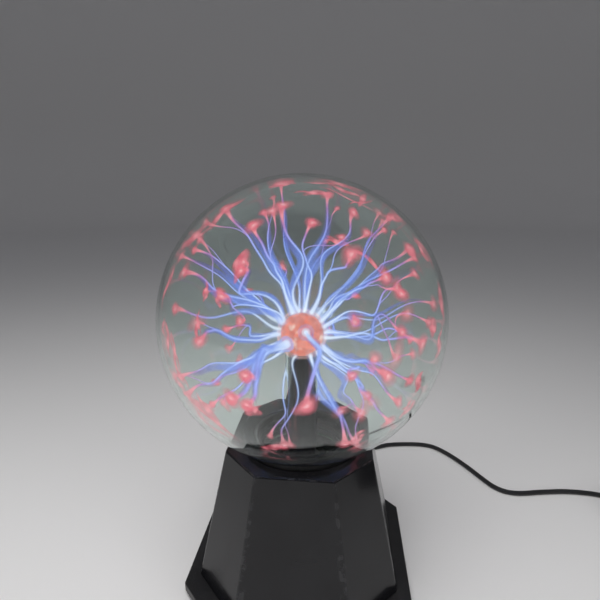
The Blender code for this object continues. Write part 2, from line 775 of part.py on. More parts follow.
def make_transformer():
    """The high-voltage transformer: a ferrite window with a wound coil on its left leg."""
    width, height = CORE_WINDOW
    place = winding_place()
    middle = (place.x + CORE_BAR / 2 + width / 2, place.y, place.z)
    outer = rectangle(width + 2 * CORE_BAR, height + 2 * CORE_BAR)
    core = flat_plate("transformer_core", [outer, rectangle(width, height)], CORE_BAR, FERRITE)
    core.location = middle
    core.rotation_euler = (math.radians(90), 0, 0)
    bore = CORE_BAR / math.sqrt(2) + CLEARANCE
    half = WINDING_HEIGHT / 2
    outline = [
        (WINDING_RADIUS, half - 0.001),
        (WINDING_RADIUS, 0.001 - half),
        (WINDING_RADIUS - 0.001, -half),
        (bore, -half),
        (bore, half),
        (WINDING_RADIUS - 0.001, half),
    ]
    turned("transformer_winding", outline, WINDING_TAPE, MEDIUM).location = place


def make_power_stage():
    """The heat sink with its transistor, the capacitors and the driver chip."""
    base, fin, fin_reach, pitch = 0.003, 0.0016, 0.009, 0.0062
    fins = 5
    width = pitch * (fins - 1) + fin
    outline = [(0, 0), (width, 0)]
    for k in reversed(range(fins)):
        x = pitch * k
        outline += [(x + fin, base + fin_reach), (x, base + fin_reach)]
        if k:
            outline += [(x, base), (x - pitch + fin, base)]
    height = 0.030
    sink = flat_plate("heat_sink", [outline], height, HEAT_SINK_ALUMINIUM)
    sink.location = (0.008, -0.012, PART_Z + height / 2)

    tab_y = sink.location.y - GAP - 0.0007
    centre_x = sink.location.x + width / 2
    tab = box(
        "drive_transistor", (0.0100, 0.0014, 0.0160), (centre_x, tab_y, PART_Z + 0.013), COMPONENT_BLACK
    )
    middle = (centre_x, tab_y - 0.0020, PART_Z + 0.0096)
    body = box("transistor_body", (0.0100, 0.0040, 0.0092), middle)
    join(tab, body)
    for k in (-1, 0, 1):
        leg = box(
            f"transistor_leg_{k + 2}", (0.0008, 0.0008, 0.0060),
            (centre_x + 0.0025 * k, tab_y - 0.0020, PART_Z + 0.0030),
        )
        join(tab, leg)

    for name, radius, height, x, y, look in (
        ("filter_capacitor", 0.0065, 0.016, 0.026, 0.016, CAPACITOR_BLUE),
        ("drive_capacitor", 0.0040, 0.011, 0.012, 0.018, CAPACITOR_BLUE),
    ):
        outline = [
            (0, height),
            (radius - 0.0008, height),
            (radius, height - 0.0008),
            (radius, 0.0008),
            (radius - 0.0008, 0),
            (0, 0),
        ]
        turned(name, outline, look, MEDIUM).location = (x, y, PART_Z)
    chip = (0.0065, 0.0095, 0.0034)
    box("driver_chip", chip, (-0.006, 0.026, PART_Z + chip[2] / 2), COMPONENT_BLACK, 0.0003)


def make_inlet():
    """The power jack: a block with a round nose, a bore and a centre pin."""
    wall = housing_half(JACK_Z)
    block_front = wall - HOUSING_WALL - 0.0020
    nose_front = wall - 0.0006
    width, length, height = JACK_BODY
    middle = (JACK_X, block_front - length / 2, JACK_Z)
    jack = box("power_jack", (width, length, height), middle, COMPONENT_BLACK)
    nose = rod(
        "jack_nose", JACK_NOSE_RADIUS, nose_front - block_front + 0.002,
        (JACK_X, block_front - 0.002, JACK_Z), (0, 1, 0),
    )
    bore_end = nose_front - JACK_BORE_DEPTH
    bore = rod(
        "jack_bore", JACK_BORE_RADIUS, JACK_BORE_DEPTH + 0.001, (JACK_X, bore_end, JACK_Z), (0, 1, 0)
    )
    pin = rod(
        "jack_pin", JACK_PIN_RADIUS, JACK_BORE_DEPTH - 0.0005, (JACK_X, bore_end - 0.001, JACK_Z),
        (0, 1, 0), sides=COARSE,
    )
    join(cut(join(jack, nose), bore), pin)
    return bore_end


def make_switch():
    """The three-position slide switch; it rests at its left end, seen from behind the right one."""
    width, depth, height = SWITCH_BODY
    travel = SWITCH_STEP * SWITCH_STEPS
    front = housing_half(SWITCH_Z) - HOUSING_WALL - 0.0024
    body = box("switch_body", SWITCH_BODY, (SWITCH_X, front - depth / 2, SWITCH_Z), BRIGHT_METAL)
    track_depth = 0.0045
    track = box(
        "switch_track",
        (CARRIAGE[0] + travel + 2 * CLEARANCE, 2 * track_depth, CARRIAGE[2] + 2 * CLEARANCE),
        (SWITCH_X, front, SWITCH_Z),
    )
    cut(body, track)

    rest_x = SWITCH_X - travel / 2
    back = front - track_depth + CLEARANCE
    tip = housing_half(SWITCH_Z) + KNOB_PROUD
    slider = box(
        "switch_slider", (KNOB[0], tip - back - 0.0005, KNOB[1]),
        (rest_x, (tip + back + 0.0005) / 2, SWITCH_Z), SATIN_BLACK,
    )
    carriage = box("slider_carriage", CARRIAGE, (rest_x, back + CARRIAGE[1] / 2, SWITCH_Z))
    join(slider, carriage)


def make_microphone():
    front = housing_half(microphone_z()) - HOUSING_WALL - 0.0025
    place = (MICROPHONE_X, front - MICROPHONE_LENGTH, microphone_z())
    rod("microphone", MICROPHONE_RADIUS, MICROPHONE_LENGTH, place, (0, 1, 0), BRIGHT_METAL)


# ---------------------------------------------------------------- power lead


def make_plug(bore_end):
    """The coaxial plug in the jack, and where the lead leaves its grip."""
    face = housing_half(JACK_Z - GRIP_RADIUS) + 0.0008
    tip = bore_end + 0.0006
    root = face + 0.002
    barrel = rod(
        "plug_barrel", BARREL_RADIUS, root - tip, (JACK_X, tip, JACK_Z), (0, 1, 0), BRIGHT_METAL
    )
    foot = (JACK_X, tip - THROUGH, JACK_Z)
    hole = rod("barrel_hole", BARREL_HOLE, root - tip - THROUGH, foot, (0, 1, 0), sides=COARSE)
    cut(barrel, hole)
    recess = BARREL_RADIUS + GAP
    end = GRIP_LENGTH + GRIP_TAIL
    tail = CORD_DIAMETER / 2 + 0.0009
    outline = [
        (0, end),
        (tail, end),
        (tail + 0.0006, GRIP_LENGTH + 0.002),
        (GRIP_RADIUS - 0.0008, GRIP_LENGTH),
        (GRIP_RADIUS, GRIP_LENGTH - 0.002),
        (GRIP_RADIUS, 0.001),
        (GRIP_RADIUS - 0.0008, 0),
        (recess, 0),
        (recess, 0.002 + GAP),
        (0, 0.002 + GAP),
    ]
    aim(turned("plug_grip", outline, BLACK_RUBBER, MEDIUM), (JACK_X, face, JACK_Z), (0, 1, 0))
    return Vector((JACK_X, face + end, JACK_Z))


def make_lead(exit_point):
    """The lead from the plug to the coil: back and down to the table, then along it."""
    start = exit_point + Vector((0, GAP, 0))
    fall = [
        start,
        start + Vector((0, 0.0045, 0)),
        start + Vector((0.0008, 0.0100, -0.0006)),
        start + Vector((0.0050, 0.0170, -0.0030)),
        Vector((0.0364, 0.1345, CORD_Z + 0.0066)),
        Vector((0.0547, 0.1444, CORD_Z + 0.0008)),
    ]
    laid = [Vector((x, y, CORD_Z)) for x, y in LEAD_ROUTE]
    tube("power_lead", smooth_route(fall + laid, 2 * CORD_DIAMETER), CORD_DIAMETER / 2, CORD_BLACK, 3)


def make_coil():
    """The stored turns as one ring, its tie, and the lead's last stretch to the adapter."""
    x, y = COIL_CENTRE
    inner, outer = COIL_RADIUS - COIL_WIDTH / 2, COIL_RADIUS + COIL_WIDTH / 2
    low, high = COIL_LIFT, COIL_LIFT + COIL_HEIGHT
    soft = 0.003
    outline = [
        (outer - soft, high),
        (outer, high - soft),
        (outer, low + soft),
        (outer - soft, low),
        (inner + soft, low),
        (inner, low + soft),
        (inner, high - soft),
        (inner + soft, high),
    ]
    turned("lead_coil", outline, CORD_BLACK, FINE).location = (x, y, 0)

    opening = (COIL_WIDTH + 2 * TIE_SLACK, 2 * TIE_WIDTH, COIL_HEIGHT + 2 * GAP)
    size = (opening[0] + 2 * TIE_THICKNESS, TIE_WIDTH, opening[2] + 2 * TIE_THICKNESS)
    place = at_bearing(COIL_RADIUS, TIE_BEARING, (low + high) / 2) + Vector((x, y, 0))
    tie = box("coil_tie", size, place, BLACK_RUBBER)
    window = box("tie_window", opening, place)
    for piece in (tie, window):
        piece.rotation_euler = (0, 0, TIE_BEARING)
    cut(tie, window)

    leave_x = x + COIL_RADIUS
    adapter_z = ADAPTER_SIZE[2] / 2
    adapter_back = ADAPTER_FRONT + ADAPTER_SIZE[1]
    relief_tip = adapter_back + GAP + ADAPTER_RELIEF
    clear = y - math.sqrt(outer**2 - COIL_RADIUS**2) - 0.003
    tail = [
        (leave_x, clear, high - CORD_DIAMETER),
        (leave_x, clear - 0.010, high - CORD_DIAMETER),
        (leave_x, relief_tip + 0.009, adapter_z),
        (leave_x, relief_tip + GAP, adapter_z),
    ]
    tube("lead_tail", smooth_route(tail, 2 * CORD_DIAMETER), CORD_DIAMETER / 2, CORD_BLACK, 3)

    tip = CORD_DIAMETER / 2 + 0.0010
    outline = [
        (0, ADAPTER_RELIEF),
        (tip, ADAPTER_RELIEF),
        (0.0042, 0.003),
        (0.0050, 0.003),
        (0.0050, 0),
        (0, 0),
    ]
    relief = turned("adapter_strain_relief", outline, BLACK_RUBBER, MEDIUM)
    aim(relief, (leave_x, adapter_back + GAP, adapter_z), (0, 1, 0))
    centre = (leave_x, ADAPTER_FRONT + ADAPTER_SIZE[1] / 2, adapter_z)
    box("adapter_body", ADAPTER_SIZE, centre, SATIN_BLACK, 0.0028)
    for k, side in enumerate((-1, 1)):
        place = (
            leave_x + side * PRONG_SPACING / 2,
            ADAPTER_FRONT + 0.020,
            ADAPTER_SIZE[2] + GAP + PRONG_SIZE[2] / 2,
        )
        box(f"adapter_prong_{k + 1}", PRONG_SIZE, place, BRIGHT_METAL)


def main():
    make_globe()
    make_stem()
    make_electrode()
    make_seat()
    make_housing()
    make_tray()
    make_board()
    make_transformer()
    make_power_stage()
    make_switch()
    make_microphone()
    bore_end = make_inlet()
    make_lead(make_plug(bore_end))
    make_coil()


main()
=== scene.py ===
"""Looks of a table-top plasma ball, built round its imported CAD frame.

Lengths are metres and +Z is up. The origin is on the table, under the middle of the base, whose front
faces -Y. Each sub-assembly is a class that builds its pieces as surfaces worked out with numpy, and
dresses them in procedural finishes.
"""

from __future__ import annotations

import json
import logging
import math
from dataclasses import dataclass
from enum import Enum
from typing import Any

import bmesh
import bpy
import numpy as np
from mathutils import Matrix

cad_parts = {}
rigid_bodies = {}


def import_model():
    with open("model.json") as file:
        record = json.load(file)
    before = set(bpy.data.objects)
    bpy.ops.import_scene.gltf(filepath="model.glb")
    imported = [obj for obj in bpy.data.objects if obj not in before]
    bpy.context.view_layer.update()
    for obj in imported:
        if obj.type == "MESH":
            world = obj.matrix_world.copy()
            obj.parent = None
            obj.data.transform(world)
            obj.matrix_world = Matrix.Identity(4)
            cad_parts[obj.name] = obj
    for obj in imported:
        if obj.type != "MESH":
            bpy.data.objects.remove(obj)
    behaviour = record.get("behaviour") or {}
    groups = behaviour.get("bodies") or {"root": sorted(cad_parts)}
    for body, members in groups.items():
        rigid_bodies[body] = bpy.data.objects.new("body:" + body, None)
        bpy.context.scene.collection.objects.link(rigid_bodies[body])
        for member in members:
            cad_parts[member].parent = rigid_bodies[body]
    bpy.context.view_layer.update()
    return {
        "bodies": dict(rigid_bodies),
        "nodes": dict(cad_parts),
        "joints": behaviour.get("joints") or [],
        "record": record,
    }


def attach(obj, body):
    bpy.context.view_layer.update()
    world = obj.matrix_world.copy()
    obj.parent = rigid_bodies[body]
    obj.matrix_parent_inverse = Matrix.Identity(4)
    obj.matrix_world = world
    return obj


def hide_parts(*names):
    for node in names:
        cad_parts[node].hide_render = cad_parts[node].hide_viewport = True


Array = np.ndarray
Colour = tuple[float, float, float]
Place = tuple[float, float, float]
Stops = tuple[tuple[float, Colour], ...]
Socket = bpy.types.NodeSocket

LOG = logging.getLogger("plasma_ball")
LAMP = "lamp"  # the CAD body that everything but the switch's slider rides on
HAIR = 0.0003  # between faces that touch
SPAN_STEPS = 48  # steps from one point of a smooth route to the next
UPWARD = np.array([0.0, 0.0, 1.0]) + 1e-3  # tipped a little, so that it never lies along a path


# ---------------------------------------------------------------- vectors and curves


def unit(vectors: Array) -> Array:
    """Vectors scaled to length one along their last axis."""
    return vectors / np.linalg.norm(vectors, axis=-1, keepdims=True)


def across(directions: Array, like: Array) -> tuple[Array, Array]:
    """Two unit vectors square to each direction.

    The first is like with its part along the direction taken away, and the second is their cross product.

    Args:
        directions: unit vectors, (..., 3).
        like: the vector that the first answer keeps nearest to.

    Returns:
        The two sets of unit vectors.
    """
    like = np.broadcast_to(like, directions.shape)
    first = unit(like - (like * directions).sum(-1, keepdims=True) * directions)
    return first, np.cross(directions, first)


def smooth_route(points: list[Place | Array], spacing: float) -> Array:
    """Evenly spaced points on a centripetal Catmull-Rom curve through the given points.

    Each span is blended from lines between neighbouring knots, which stand apart by the square root of
    their distance, and the result is resampled by its running length.

    Args:
        points: the places that the curve passes through.
        spacing: about how far apart the answers lie.

    Returns:
        The points, (count, 3).
    """
    knots = np.array(points, float)
    knots = np.vstack([2 * knots[0] - knots[1], knots, 2 * knots[-1] - knots[-2]])
    gaps = np.sqrt(np.linalg.norm(np.diff(knots, axis=0), axis=1))
    a, b, c, d = (knots[k : len(knots) - 3 + k, None] for k in range(4))
    t1, t2, t3 = np.cumsum([gaps[k : len(gaps) - 2 + k] for k in range(3)], axis=0)[..., None, None]
    t = t1 + (t2 - t1) * np.linspace(0, 1, SPAN_STEPS, endpoint=False)[:, None]
    ab = a + (b - a) * t / t1
    bc = b + (c - b) * (t - t1) / (t2 - t1)
    cd = c + (d - c) * (t - t2) / (t3 - t2)
    abc = ab + (bc - ab) * t / t2
    bcd = bc + (cd - bc) * (t - t1) / (t3 - t1)
    dense = (abc + (bcd - abc) * (t - t1) / (t2 - t1)).reshape(-1, 3)
    return evenly(np.vstack([dense, knots[-2]]), spacing)


def evenly(points: Array, spacing: float) -> Array:
    """The same line with its points about spacing apart, by interpolation over its running length."""
    run = running_length(points)
    count = max(2, round(run[-1] / spacing))
    along = np.linspace(0, run[-1], count + 1)
    return np.stack([np.interp(along, run, points[:, axis]) for axis in range(3)], axis=1)


def running_length(points: Array) -> Array:
    """The length of the line from its first point to each point."""
    return np.concatenate([[0], np.cumsum(np.linalg.norm(np.diff(points, axis=0), axis=1))])


def bearings(count: int) -> Array:
    """Even bearings once round, in radians."""
    return np.linspace(0, 2 * math.pi, count, endpoint=False)


def on_axis(height: float) -> Array:
    """The point of the lamp's axis at a height."""
    return np.array([0.0, 0.0, height])


def carried_round(radius: Array, height: Array, bearing: Array) -> Array:
    """Points (r cos b, r sin b, h) for each row's radius and height and each bearing, as a grid."""
    return np.stack([radius * np.cos(bearing), radius * np.sin(bearing), height + 0 * bearing], axis=-1)


def ball_ways(rows: int, columns: int) -> Array:
    """Unit vectors (sin f cos b, sin f sin b, cos f) for falls f from the top and bearings b, as a grid."""
    fall = np.linspace(0, math.pi, rows)[:, None]
    return carried_round(np.sin(fall), np.cos(fall), bearings(columns))


def ease(values: Array) -> Array:
    """A smooth step: 3 t^2 - 2 t^3 between 0 and 1, flat outside."""
    t = np.clip(values, 0, 1)
    return t * t * (3 - 2 * t)


# ---------------------------------------------------------------- node trees


class Sheet:
    """Adds nodes to one node tree and wires them as it goes."""

    def __init__(self, tree: bpy.types.NodeTree) -> None:
        """Starts on a tree."""
        self.tree = tree

    def add(self, kind: str, inputs: dict[str | int, Any] | None = None, **settings: Any) -> bpy.types.Node:
        """Adds a node.

        Args:
            kind: the node's type.
            inputs: a value or another node's output for each named or numbered input.
            settings: the node's own properties.

        Returns:
            The node.
        """
        node = self.tree.nodes.new(kind)
        for name, value in settings.items():
            setattr(node, name, value)
        self.wire(node, inputs or {})
        return node

    def wire(self, node: bpy.types.Node, inputs: dict[str | int, Any]) -> None:
        """Feeds a node's named or numbered inputs."""
        for key, value in inputs.items():
            self.feed(node.inputs[key], value)

    def feed(self, socket: Socket, value: Any) -> None:
        """Sets an input to a value, or wires another output to it."""
        if isinstance(value, Socket):
            self.tree.links.new(value, socket)
            return
        if socket.type == "RGBA" and len(value) == 3:
            value = (*value, 1.0)
        socket.default_value = value

    def maths(self, operation: str, *values: Any, clamp: bool = False) -> Socket:
        """A Math node's answer."""
        inputs = dict(enumerate(values))
        return self.add("ShaderNodeMath", inputs, operation=operation, use_clamp=clamp).outputs[0]

    def times(self, *factors: Any) -> Socket:
        """The product of the factors, multiplied from the left."""
        product = factors[0]
        for factor in factors[1:]:
            product = self.maths("MULTIPLY", product, factor)
        return product

    def noise(self, place: Socket, scale: float, detail: float = 3.0, distortion: float = 0.0) -> Socket:
        """A Noise texture's value at a place."""
        values = {"Vector": place, "Scale": scale, "Detail": detail, "Distortion": distortion}
        return self.add("ShaderNodeTexNoise", values).outputs["Fac"]

    def edges(self, place: Socket, scale: float) -> Socket:
        """How far a place is from the nearest wall between Voronoi cells."""
        values = {"Vector": place, "Scale": scale}
        return self.add("ShaderNodeTexVoronoi", values, feature="DISTANCE_TO_EDGE").outputs["Distance"]

    def span(self, value: Socket, low: float, high: float, start: float = 0.0, end: float = 1.0) -> Socket:
        """The value's place between low and high, eased, and stretched to run from start to end."""
        numbers = {0: value, 1: low, 2: high, 3: start, 4: end}
        return self.add("ShaderNodeMapRange", numbers, interpolation_type="SMOOTHSTEP").outputs[0]

    def mix(self, share: Any, first: Any, second: Any) -> Socket:
        """Two colours mixed by a share."""
        return self.add("ShaderNodeMix", {0: share, 6: first, 7: second}, data_type="RGBA").outputs[2]

    def bump(self, height: Socket, distance: float, invert: bool = False) -> Socket:
        """The normal of a relief whose height is given, distance deep."""
        values = {"Height": height, "Distance": distance, "Strength": 1.0}
        return self.add("ShaderNodeBump", values, invert=invert).outputs[0]

    def ramp(self, value: Socket, stops: Stops) -> Socket:
        """A colour ramp's answer, from (position, colour) stops."""
        node = self.add("ShaderNodeValToRGB", {0: value})
        elements = node.color_ramp.elements
        for _ in stops[2:]:
            elements.new(0.5)
        for element, (position, colour) in zip(elements, stops):
            element.position = position
            element.color = (*colour, 1.0)
        return node.outputs[0]

    def attribute(self, name: str) -> Socket:
        """The value of a mesh's own attribute."""
        return self.add("ShaderNodeAttribute", attribute_name=name).outputs["Fac"]

    def object_place(self) -> Socket:
        """The place on the piece, in its own coordinates."""
        return self.add("ShaderNodeTexCoord").outputs["Object"]

    def effect(self, effect: Effect, **inputs: Any) -> Socket:
        """A shared effect's answer, from its named inputs."""
        return self.add("ShaderNodeGroup", inputs, node_tree=effect.tree()).outputs[0]


class Effect(Enum):
    """The shared effects, each a node group that is built once."""

    MOULDING = "moulding"
    DUST = "dust"
    RUBS = "rubs"
    CORNER_WEAR = "corner_wear"
    BRUSHING = "brushing"

    def tree(self) -> bpy.types.NodeTree:
        """The effect's node group, made when it is first asked for."""
        found = bpy.data.node_groups.get(self.value)
        if found:
            return found
        tree = bpy.data.node_groups.new(self.value, "ShaderNodeTree")
        builders = {
            Effect.MOULDING: build_moulding,
            Effect.DUST: build_dust,
            Effect.RUBS: build_rubs,
            Effect.CORNER_WEAR: build_corner_wear,
            Effect.BRUSHING: build_brushing,
        }
        builders[self](tree)
        return tree


def open_group(
    tree: bpy.types.NodeTree, inputs: dict[str, float], output: str
) -> tuple[Sheet, dict[str, Socket], Socket]:
    """Gives a group a Place input, float inputs with their defaults, and one float output.

    Args:
        tree: the group's tree.
        inputs: the float inputs and their defaults.
        output: the name of the output.

    Returns:
        A sheet on the tree, the inputs by name, and the socket that takes the answer.
    """
    tree.interface.new_socket(name="Place", in_out="INPUT", socket_type="NodeSocketVector")
    for name, value in inputs.items():
        socket = tree.interface.new_socket(name=name, in_out="INPUT", socket_type="NodeSocketFloat")
        socket.default_value = value
    tree.interface.new_socket(name=output, in_out="OUTPUT", socket_type="NodeSocketFloat")
    sheet = Sheet(tree)
    given = {socket.name: socket for socket in sheet.add("NodeGroupInput").outputs}
    return sheet, given, sheet.add("NodeGroupOutput").inputs[0]


def build_moulding(tree: bpy.types.NodeTree) -> None:
    """The fine relief of moulded plastic: a slow waviness and a grain of Voronoi cells, as a height."""
    sheet, given, answer = open_group(tree, {"Grain": 900.0, "Waviness": 0.3}, "Height")
    cells = sheet.add("ShaderNodeTexVoronoi", {"Vector": given["Place"], "Scale": given["Grain"]})
    waves = sheet.noise(given["Place"], 60.0, 2.0)
    slow = sheet.times(waves, given["Waviness"])
    sheet.feed(answer, sheet.maths("ADD", cells.outputs["Distance"], slow))


def build_dust(tree: bpy.types.NodeTree) -> None:
    """Dust on faces that look up: fine specks and a thin film, thicker where the normal's Z is larger."""
    sheet, given, answer = open_group(tree, {"Amount": 0.5}, "Mask")
    normal = sheet.add("ShaderNodeNewGeometry").outputs["Normal"]
    lying = sheet.span(sheet.add("ShaderNodeSeparateXYZ", {0: normal}).outputs[2], 0.35, 0.95)
    specks = sheet.span(sheet.noise(given["Place"], 1400.0, 2.0), 0.62, 0.72)
    film = sheet.span(sheet.noise(given["Place"], 45.0, 5.0), 0.40, 0.80, 0.05, 0.30)
    both = sheet.maths("ADD", specks, film, clamp=True)
    sheet.feed(answer, sheet.times(both, lying, given["Amount"]))


def build_rubs(tree: bpy.types.NodeTree) -> None:
    """Handling marks: soft smudges, crossed by scratches that are thin lines of stretched noise."""
    sheet, given, answer = open_group(tree, {"Smudge": 0.5, "Scratch": 0.3}, "Mask")
    smudge = sheet.span(sheet.noise(given["Place"], 28.0, 4.0, 0.6), 0.42, 0.70)
    total = sheet.times(smudge, given["Smudge"])
    for turn, stretch in ((0.5, 18.0), (2.1, 26.0)):
        values = {"Vector": given["Place"], "Rotation": (0.3, 0.2, turn), "Scale": (1.0, stretch, stretch)}
        line = sheet.noise(sheet.add("ShaderNodeMapping", values).outputs[0], 40.0, 1.0)
        near = sheet.maths("ABSOLUTE", sheet.maths("SUBTRACT", line, 0.5))
        hair = sheet.span(near, 0.0, 0.012, 1.0, 0.0)
        patches = sheet.span(sheet.noise(given["Place"], 55.0), 0.52, 0.66)
        total = sheet.maths("ADD", total, sheet.times(hair, patches, given["Scratch"]))
    sheet.feed(answer, sheet.maths("MINIMUM", total, 1.0))


def build_corner_wear(tree: bpy.types.NodeTree) -> None:
    """Rubbed corners of an eight-sided flared box.

    A side plane is Half + Flare (Top - z) from the axis and a cut corner's plane Reach + Flare (Top - z).
    The larger of a place's distances to a side and to a corner marks the edge between them, and the top's
    edge is where both the height and the nearer face are close. Noise breaks the mask up.
    """
    sizes = {"Half": 0.05, "Reach": 0.06, "Flare": 0.2, "Top": 0.11, "Width": 0.0012}
    sheet, given, answer = open_group(tree, sizes, "Mask")
    parts = sheet.add("ShaderNodeSeparateXYZ", {0: given["Place"]})
    x, y = (sheet.maths("ABSOLUTE", parts.outputs[axis]) for axis in (0, 1))
    below = sheet.maths("SUBTRACT", given["Top"], parts.outputs[2])
    grow = sheet.times(below, given["Flare"])
    side = sheet.maths("SUBTRACT", sheet.maths("ADD", given["Half"], grow), sheet.maths("MAXIMUM", x, y))
    diagonal = sheet.times(sheet.maths("ADD", x, y), math.sqrt(0.5))
    corner = sheet.maths("SUBTRACT", sheet.maths("ADD", given["Reach"], grow), diagonal)
    upright = sheet.maths("MAXIMUM", side, corner)
    rim = sheet.maths("MAXIMUM", below, sheet.maths("MINIMUM", side, corner))
    near = sheet.maths("DIVIDE", sheet.maths("MINIMUM", upright, rim), given["Width"])
    edge = sheet.span(near, 0.2, 1.0, 1.0, 0.0)
    broken = sheet.span(sheet.noise(given["Place"], 120.0, 5.0), 0.46, 0.62)
    sheet.feed(answer, sheet.times(edge, broken))


def build_brushing(tree: bpy.types.NodeTree) -> None:
    """Fine parallel lines of drawn or machined metal: noise stretched along one axis, as a height."""
    sheet, given, answer = open_group(tree, {"Fineness": 1.0}, "Height")
    stretched = sheet.add("ShaderNodeMapping", {"Vector": given["Place"], "Scale": (1.0, 1.0, 40.0)})
    lines = sheet.noise(stretched.outputs[0], 220.0, 2.0)
    sheet.feed(answer, sheet.times(lines, given["Fineness"]))


# ---------------------------------------------------------------- finishes


@dataclass(frozen=True)
class Finish:
    """A named procedural material. Plain values stand on the shader's own sockets."""

    name: str
    colour: Colour
    roughness: float = 0.5
    metallic: float = 0.0
    lit: bool = False  # whether it glows, with its light met by chance and not sampled

    def material(self) -> bpy.types.Material:
        """The material, made when it is first asked for."""
        title = f"{self.name}_finish"
        found = bpy.data.materials.get(title)
        if found:
            return found
        made = bpy.data.materials.new(title)
        made.use_nodes = True
        made.diffuse_color = (*self.colour, 1.0)
        if self.lit:
            made.cycles.emission_sampling = "NONE"
        sheet = Sheet(made.node_tree)
        shader = made.node_tree.nodes["Principled BSDF"]
        plain = {"Metallic": self.metallic, "Roughness": self.roughness, "Base Color": self.colour}
        sheet.wire(shader, plain)
        sheet.wire(shader, self.dress(sheet))
        return made

    def dress(self, sheet: Sheet) -> dict[str, Any]:
        """Adds the finish's own nodes, and returns what they feed to the shader's inputs."""
        raise NotImplementedError


@dataclass(frozen=True)
class Moulded(Finish):
    """Moulded plastic or rubber with a fine relief, colour drift, dust, handling marks and worn corners."""

    grain: float = 900.0
    relief: float = 0.00002
    waviness: float = 0.3
    dust: float = 0.3
    smudge: float = 0.4
    scratch: float = 0.3
    coat: float = 0.0
    shine: float = 0.5
    wear: dict[str, float] | None = None

    def dress(self, sheet: Sheet) -> dict[str, Any]:
        """Colour drifts a little, dust and wear lighten it, and marks change how rough it is."""
        place = sheet.object_place()
        drift = sheet.span(sheet.noise(place, 35.0, 4.0), 0.3, 0.7)
        lighter = tuple(value * 1.35 + 0.002 for value in self.colour)
        colour = sheet.mix(drift, self.colour, lighter)
        marks = sheet.effect(Effect.RUBS, Place=place, Smudge=self.smudge, Scratch=self.scratch)
        dust = sheet.effect(Effect.DUST, Place=place, Amount=self.dust)
        rough = sheet.span(marks, 0.0, 1.0, self.roughness, min(1.0, self.roughness + 0.22))
        if self.wear:
            worn = sheet.effect(Effect.CORNER_WEAR, Place=place, **self.wear)
            colour = sheet.mix(sheet.times(worn, 0.12), colour, WORN)
            rough = sheet.maths("ADD", rough, sheet.times(worn, 0.25))
        height = sheet.effect(Effect.MOULDING, Place=place, Grain=self.grain, Waviness=self.waviness)
        return {
            "Base Color": sheet.mix(sheet.times(dust, 0.5), colour, DUSTY),
            "Roughness": sheet.maths("ADD", rough, sheet.times(dust, 0.3), clamp=True),
            "Normal": sheet.bump(height, self.relief),
            "Coat Weight": self.coat,
            "Coat Roughness": 0.05,
            "Specular IOR Level": self.shine,
        }


@dataclass(frozen=True)
class Metal(Finish):
    """Plated or drawn metal with fine lines and a slight tarnish."""

    lines: float = 1.0
    tarnish: Colour = (0.30, 0.28, 0.25)

    def dress(self, sheet: Sheet) -> dict[str, Any]:
        """Tarnish dulls and darkens patches, and drawn lines give the relief."""
        place = sheet.object_place()
        dull = sheet.span(sheet.noise(place, 180.0, 5.0), 0.45, 0.75)
        return {
            "Base Color": sheet.mix(sheet.times(dull, 0.35), self.colour, self.tarnish),
            "Roughness": sheet.span(dull, 0.0, 1.0, self.roughness, self.roughness + 0.2),
            "Normal": sheet.bump(sheet.effect(Effect.BRUSHING, Place=place, Fineness=self.lines), 0.00002),
        }


@dataclass(frozen=True)
class Foam(Finish):
    """Closed-cell foam: small open pores on a matt black skin."""

    def dress(self, sheet: Sheet) -> dict[str, Any]:
        """Pores dent the surface, and their middles are painted darker than the walls between them, as
        painted shade in the hollows.
        """
        place = sheet.object_place()
        cells = sheet.edges(place, 1500.0)
        # wall rises from 0 on the walls between cells to 1 in the pores' middles; it both dents the pores
        # and paints shade in them
        wall = sheet.span(cells, 0.02, 0.25)
        return {
            # painted shade: the pores' middles keep the dark colour and the walls between them are
            # lightened, for the shade inside the pores
            "Base Color": sheet.mix(wall, tuple(value * 2.2 for value in self.colour), self.colour),
            "Roughness": sheet.span(sheet.noise(place, 300.0), 0.3, 0.7, 0.85, 1.0),
            "Normal": sheet.bump(wall, 0.00012, invert=True),
        }


@dataclass(frozen=True)
class Glass(Finish):
    """Clear blown glass with a faint green body colour and barely wavy walls."""

    ripple: float = 0.00002

    def dress(self, sheet: Sheet) -> dict[str, Any]:
        """A slow ripple from blowing, and faint smears that soften the shine."""
        place = sheet.object_place()
        smear = sheet.noise(place, 22.0, 5.0, 0.8)
        return {
            "Transmission Weight": 1.0,
            "IOR": 1.47,
            "Roughness": sheet.span(smear, 0.50, 0.85, self.roughness, self.roughness + 0.02),
            "Normal": sheet.bump(sheet.noise(place, 14.0, 1.0), self.ripple),
        }


@dataclass(frozen=True)
class Glow(Finish):
    """Lit gas: colour runs from the electrode to the glass, and the gas lets what is behind it through.

    The mesh's attribute along runs from 0 at the electrode to 1 at the glass, body from 0 at a piece's
    edge to 1 at its middle, and vigour is how bright one strand is against another.
    """

    colour: Colour = (0, 0, 0)
    roughness: float = 1.0
    lit: bool = True
    stops: Stops = ()
    power: float = 2.0
    fade: tuple[float, float] = (2.0, 3.0)  # where along the strand it thins out, if before 1
    left: float = 1.0  # how much is left at the glass
    mottle: float = 0.2

    def dress(self, sheet: Sheet) -> dict[str, Any]:
        """Emission follows the ramp. Alpha is the product of the body, vigour, fade and a mottle."""
        along = sheet.attribute("along")
        thin = sheet.span(along, *self.fade, 1.0, self.left)
        cloud = sheet.span(sheet.noise(sheet.object_place(), 160.0, 3.0), 0.3, 0.7, 1.0 - self.mottle, 1.0)
        body = sheet.times(sheet.attribute("body"), sheet.attribute("vigour"), thin)
        return {
            "Specular IOR Level": 0.0,
            "Emission Strength": self.power,
            "Emission Color": sheet.ramp(along, self.stops),
            "Alpha": sheet.maths("MULTIPLY", body, cloud, clamp=True),
        }


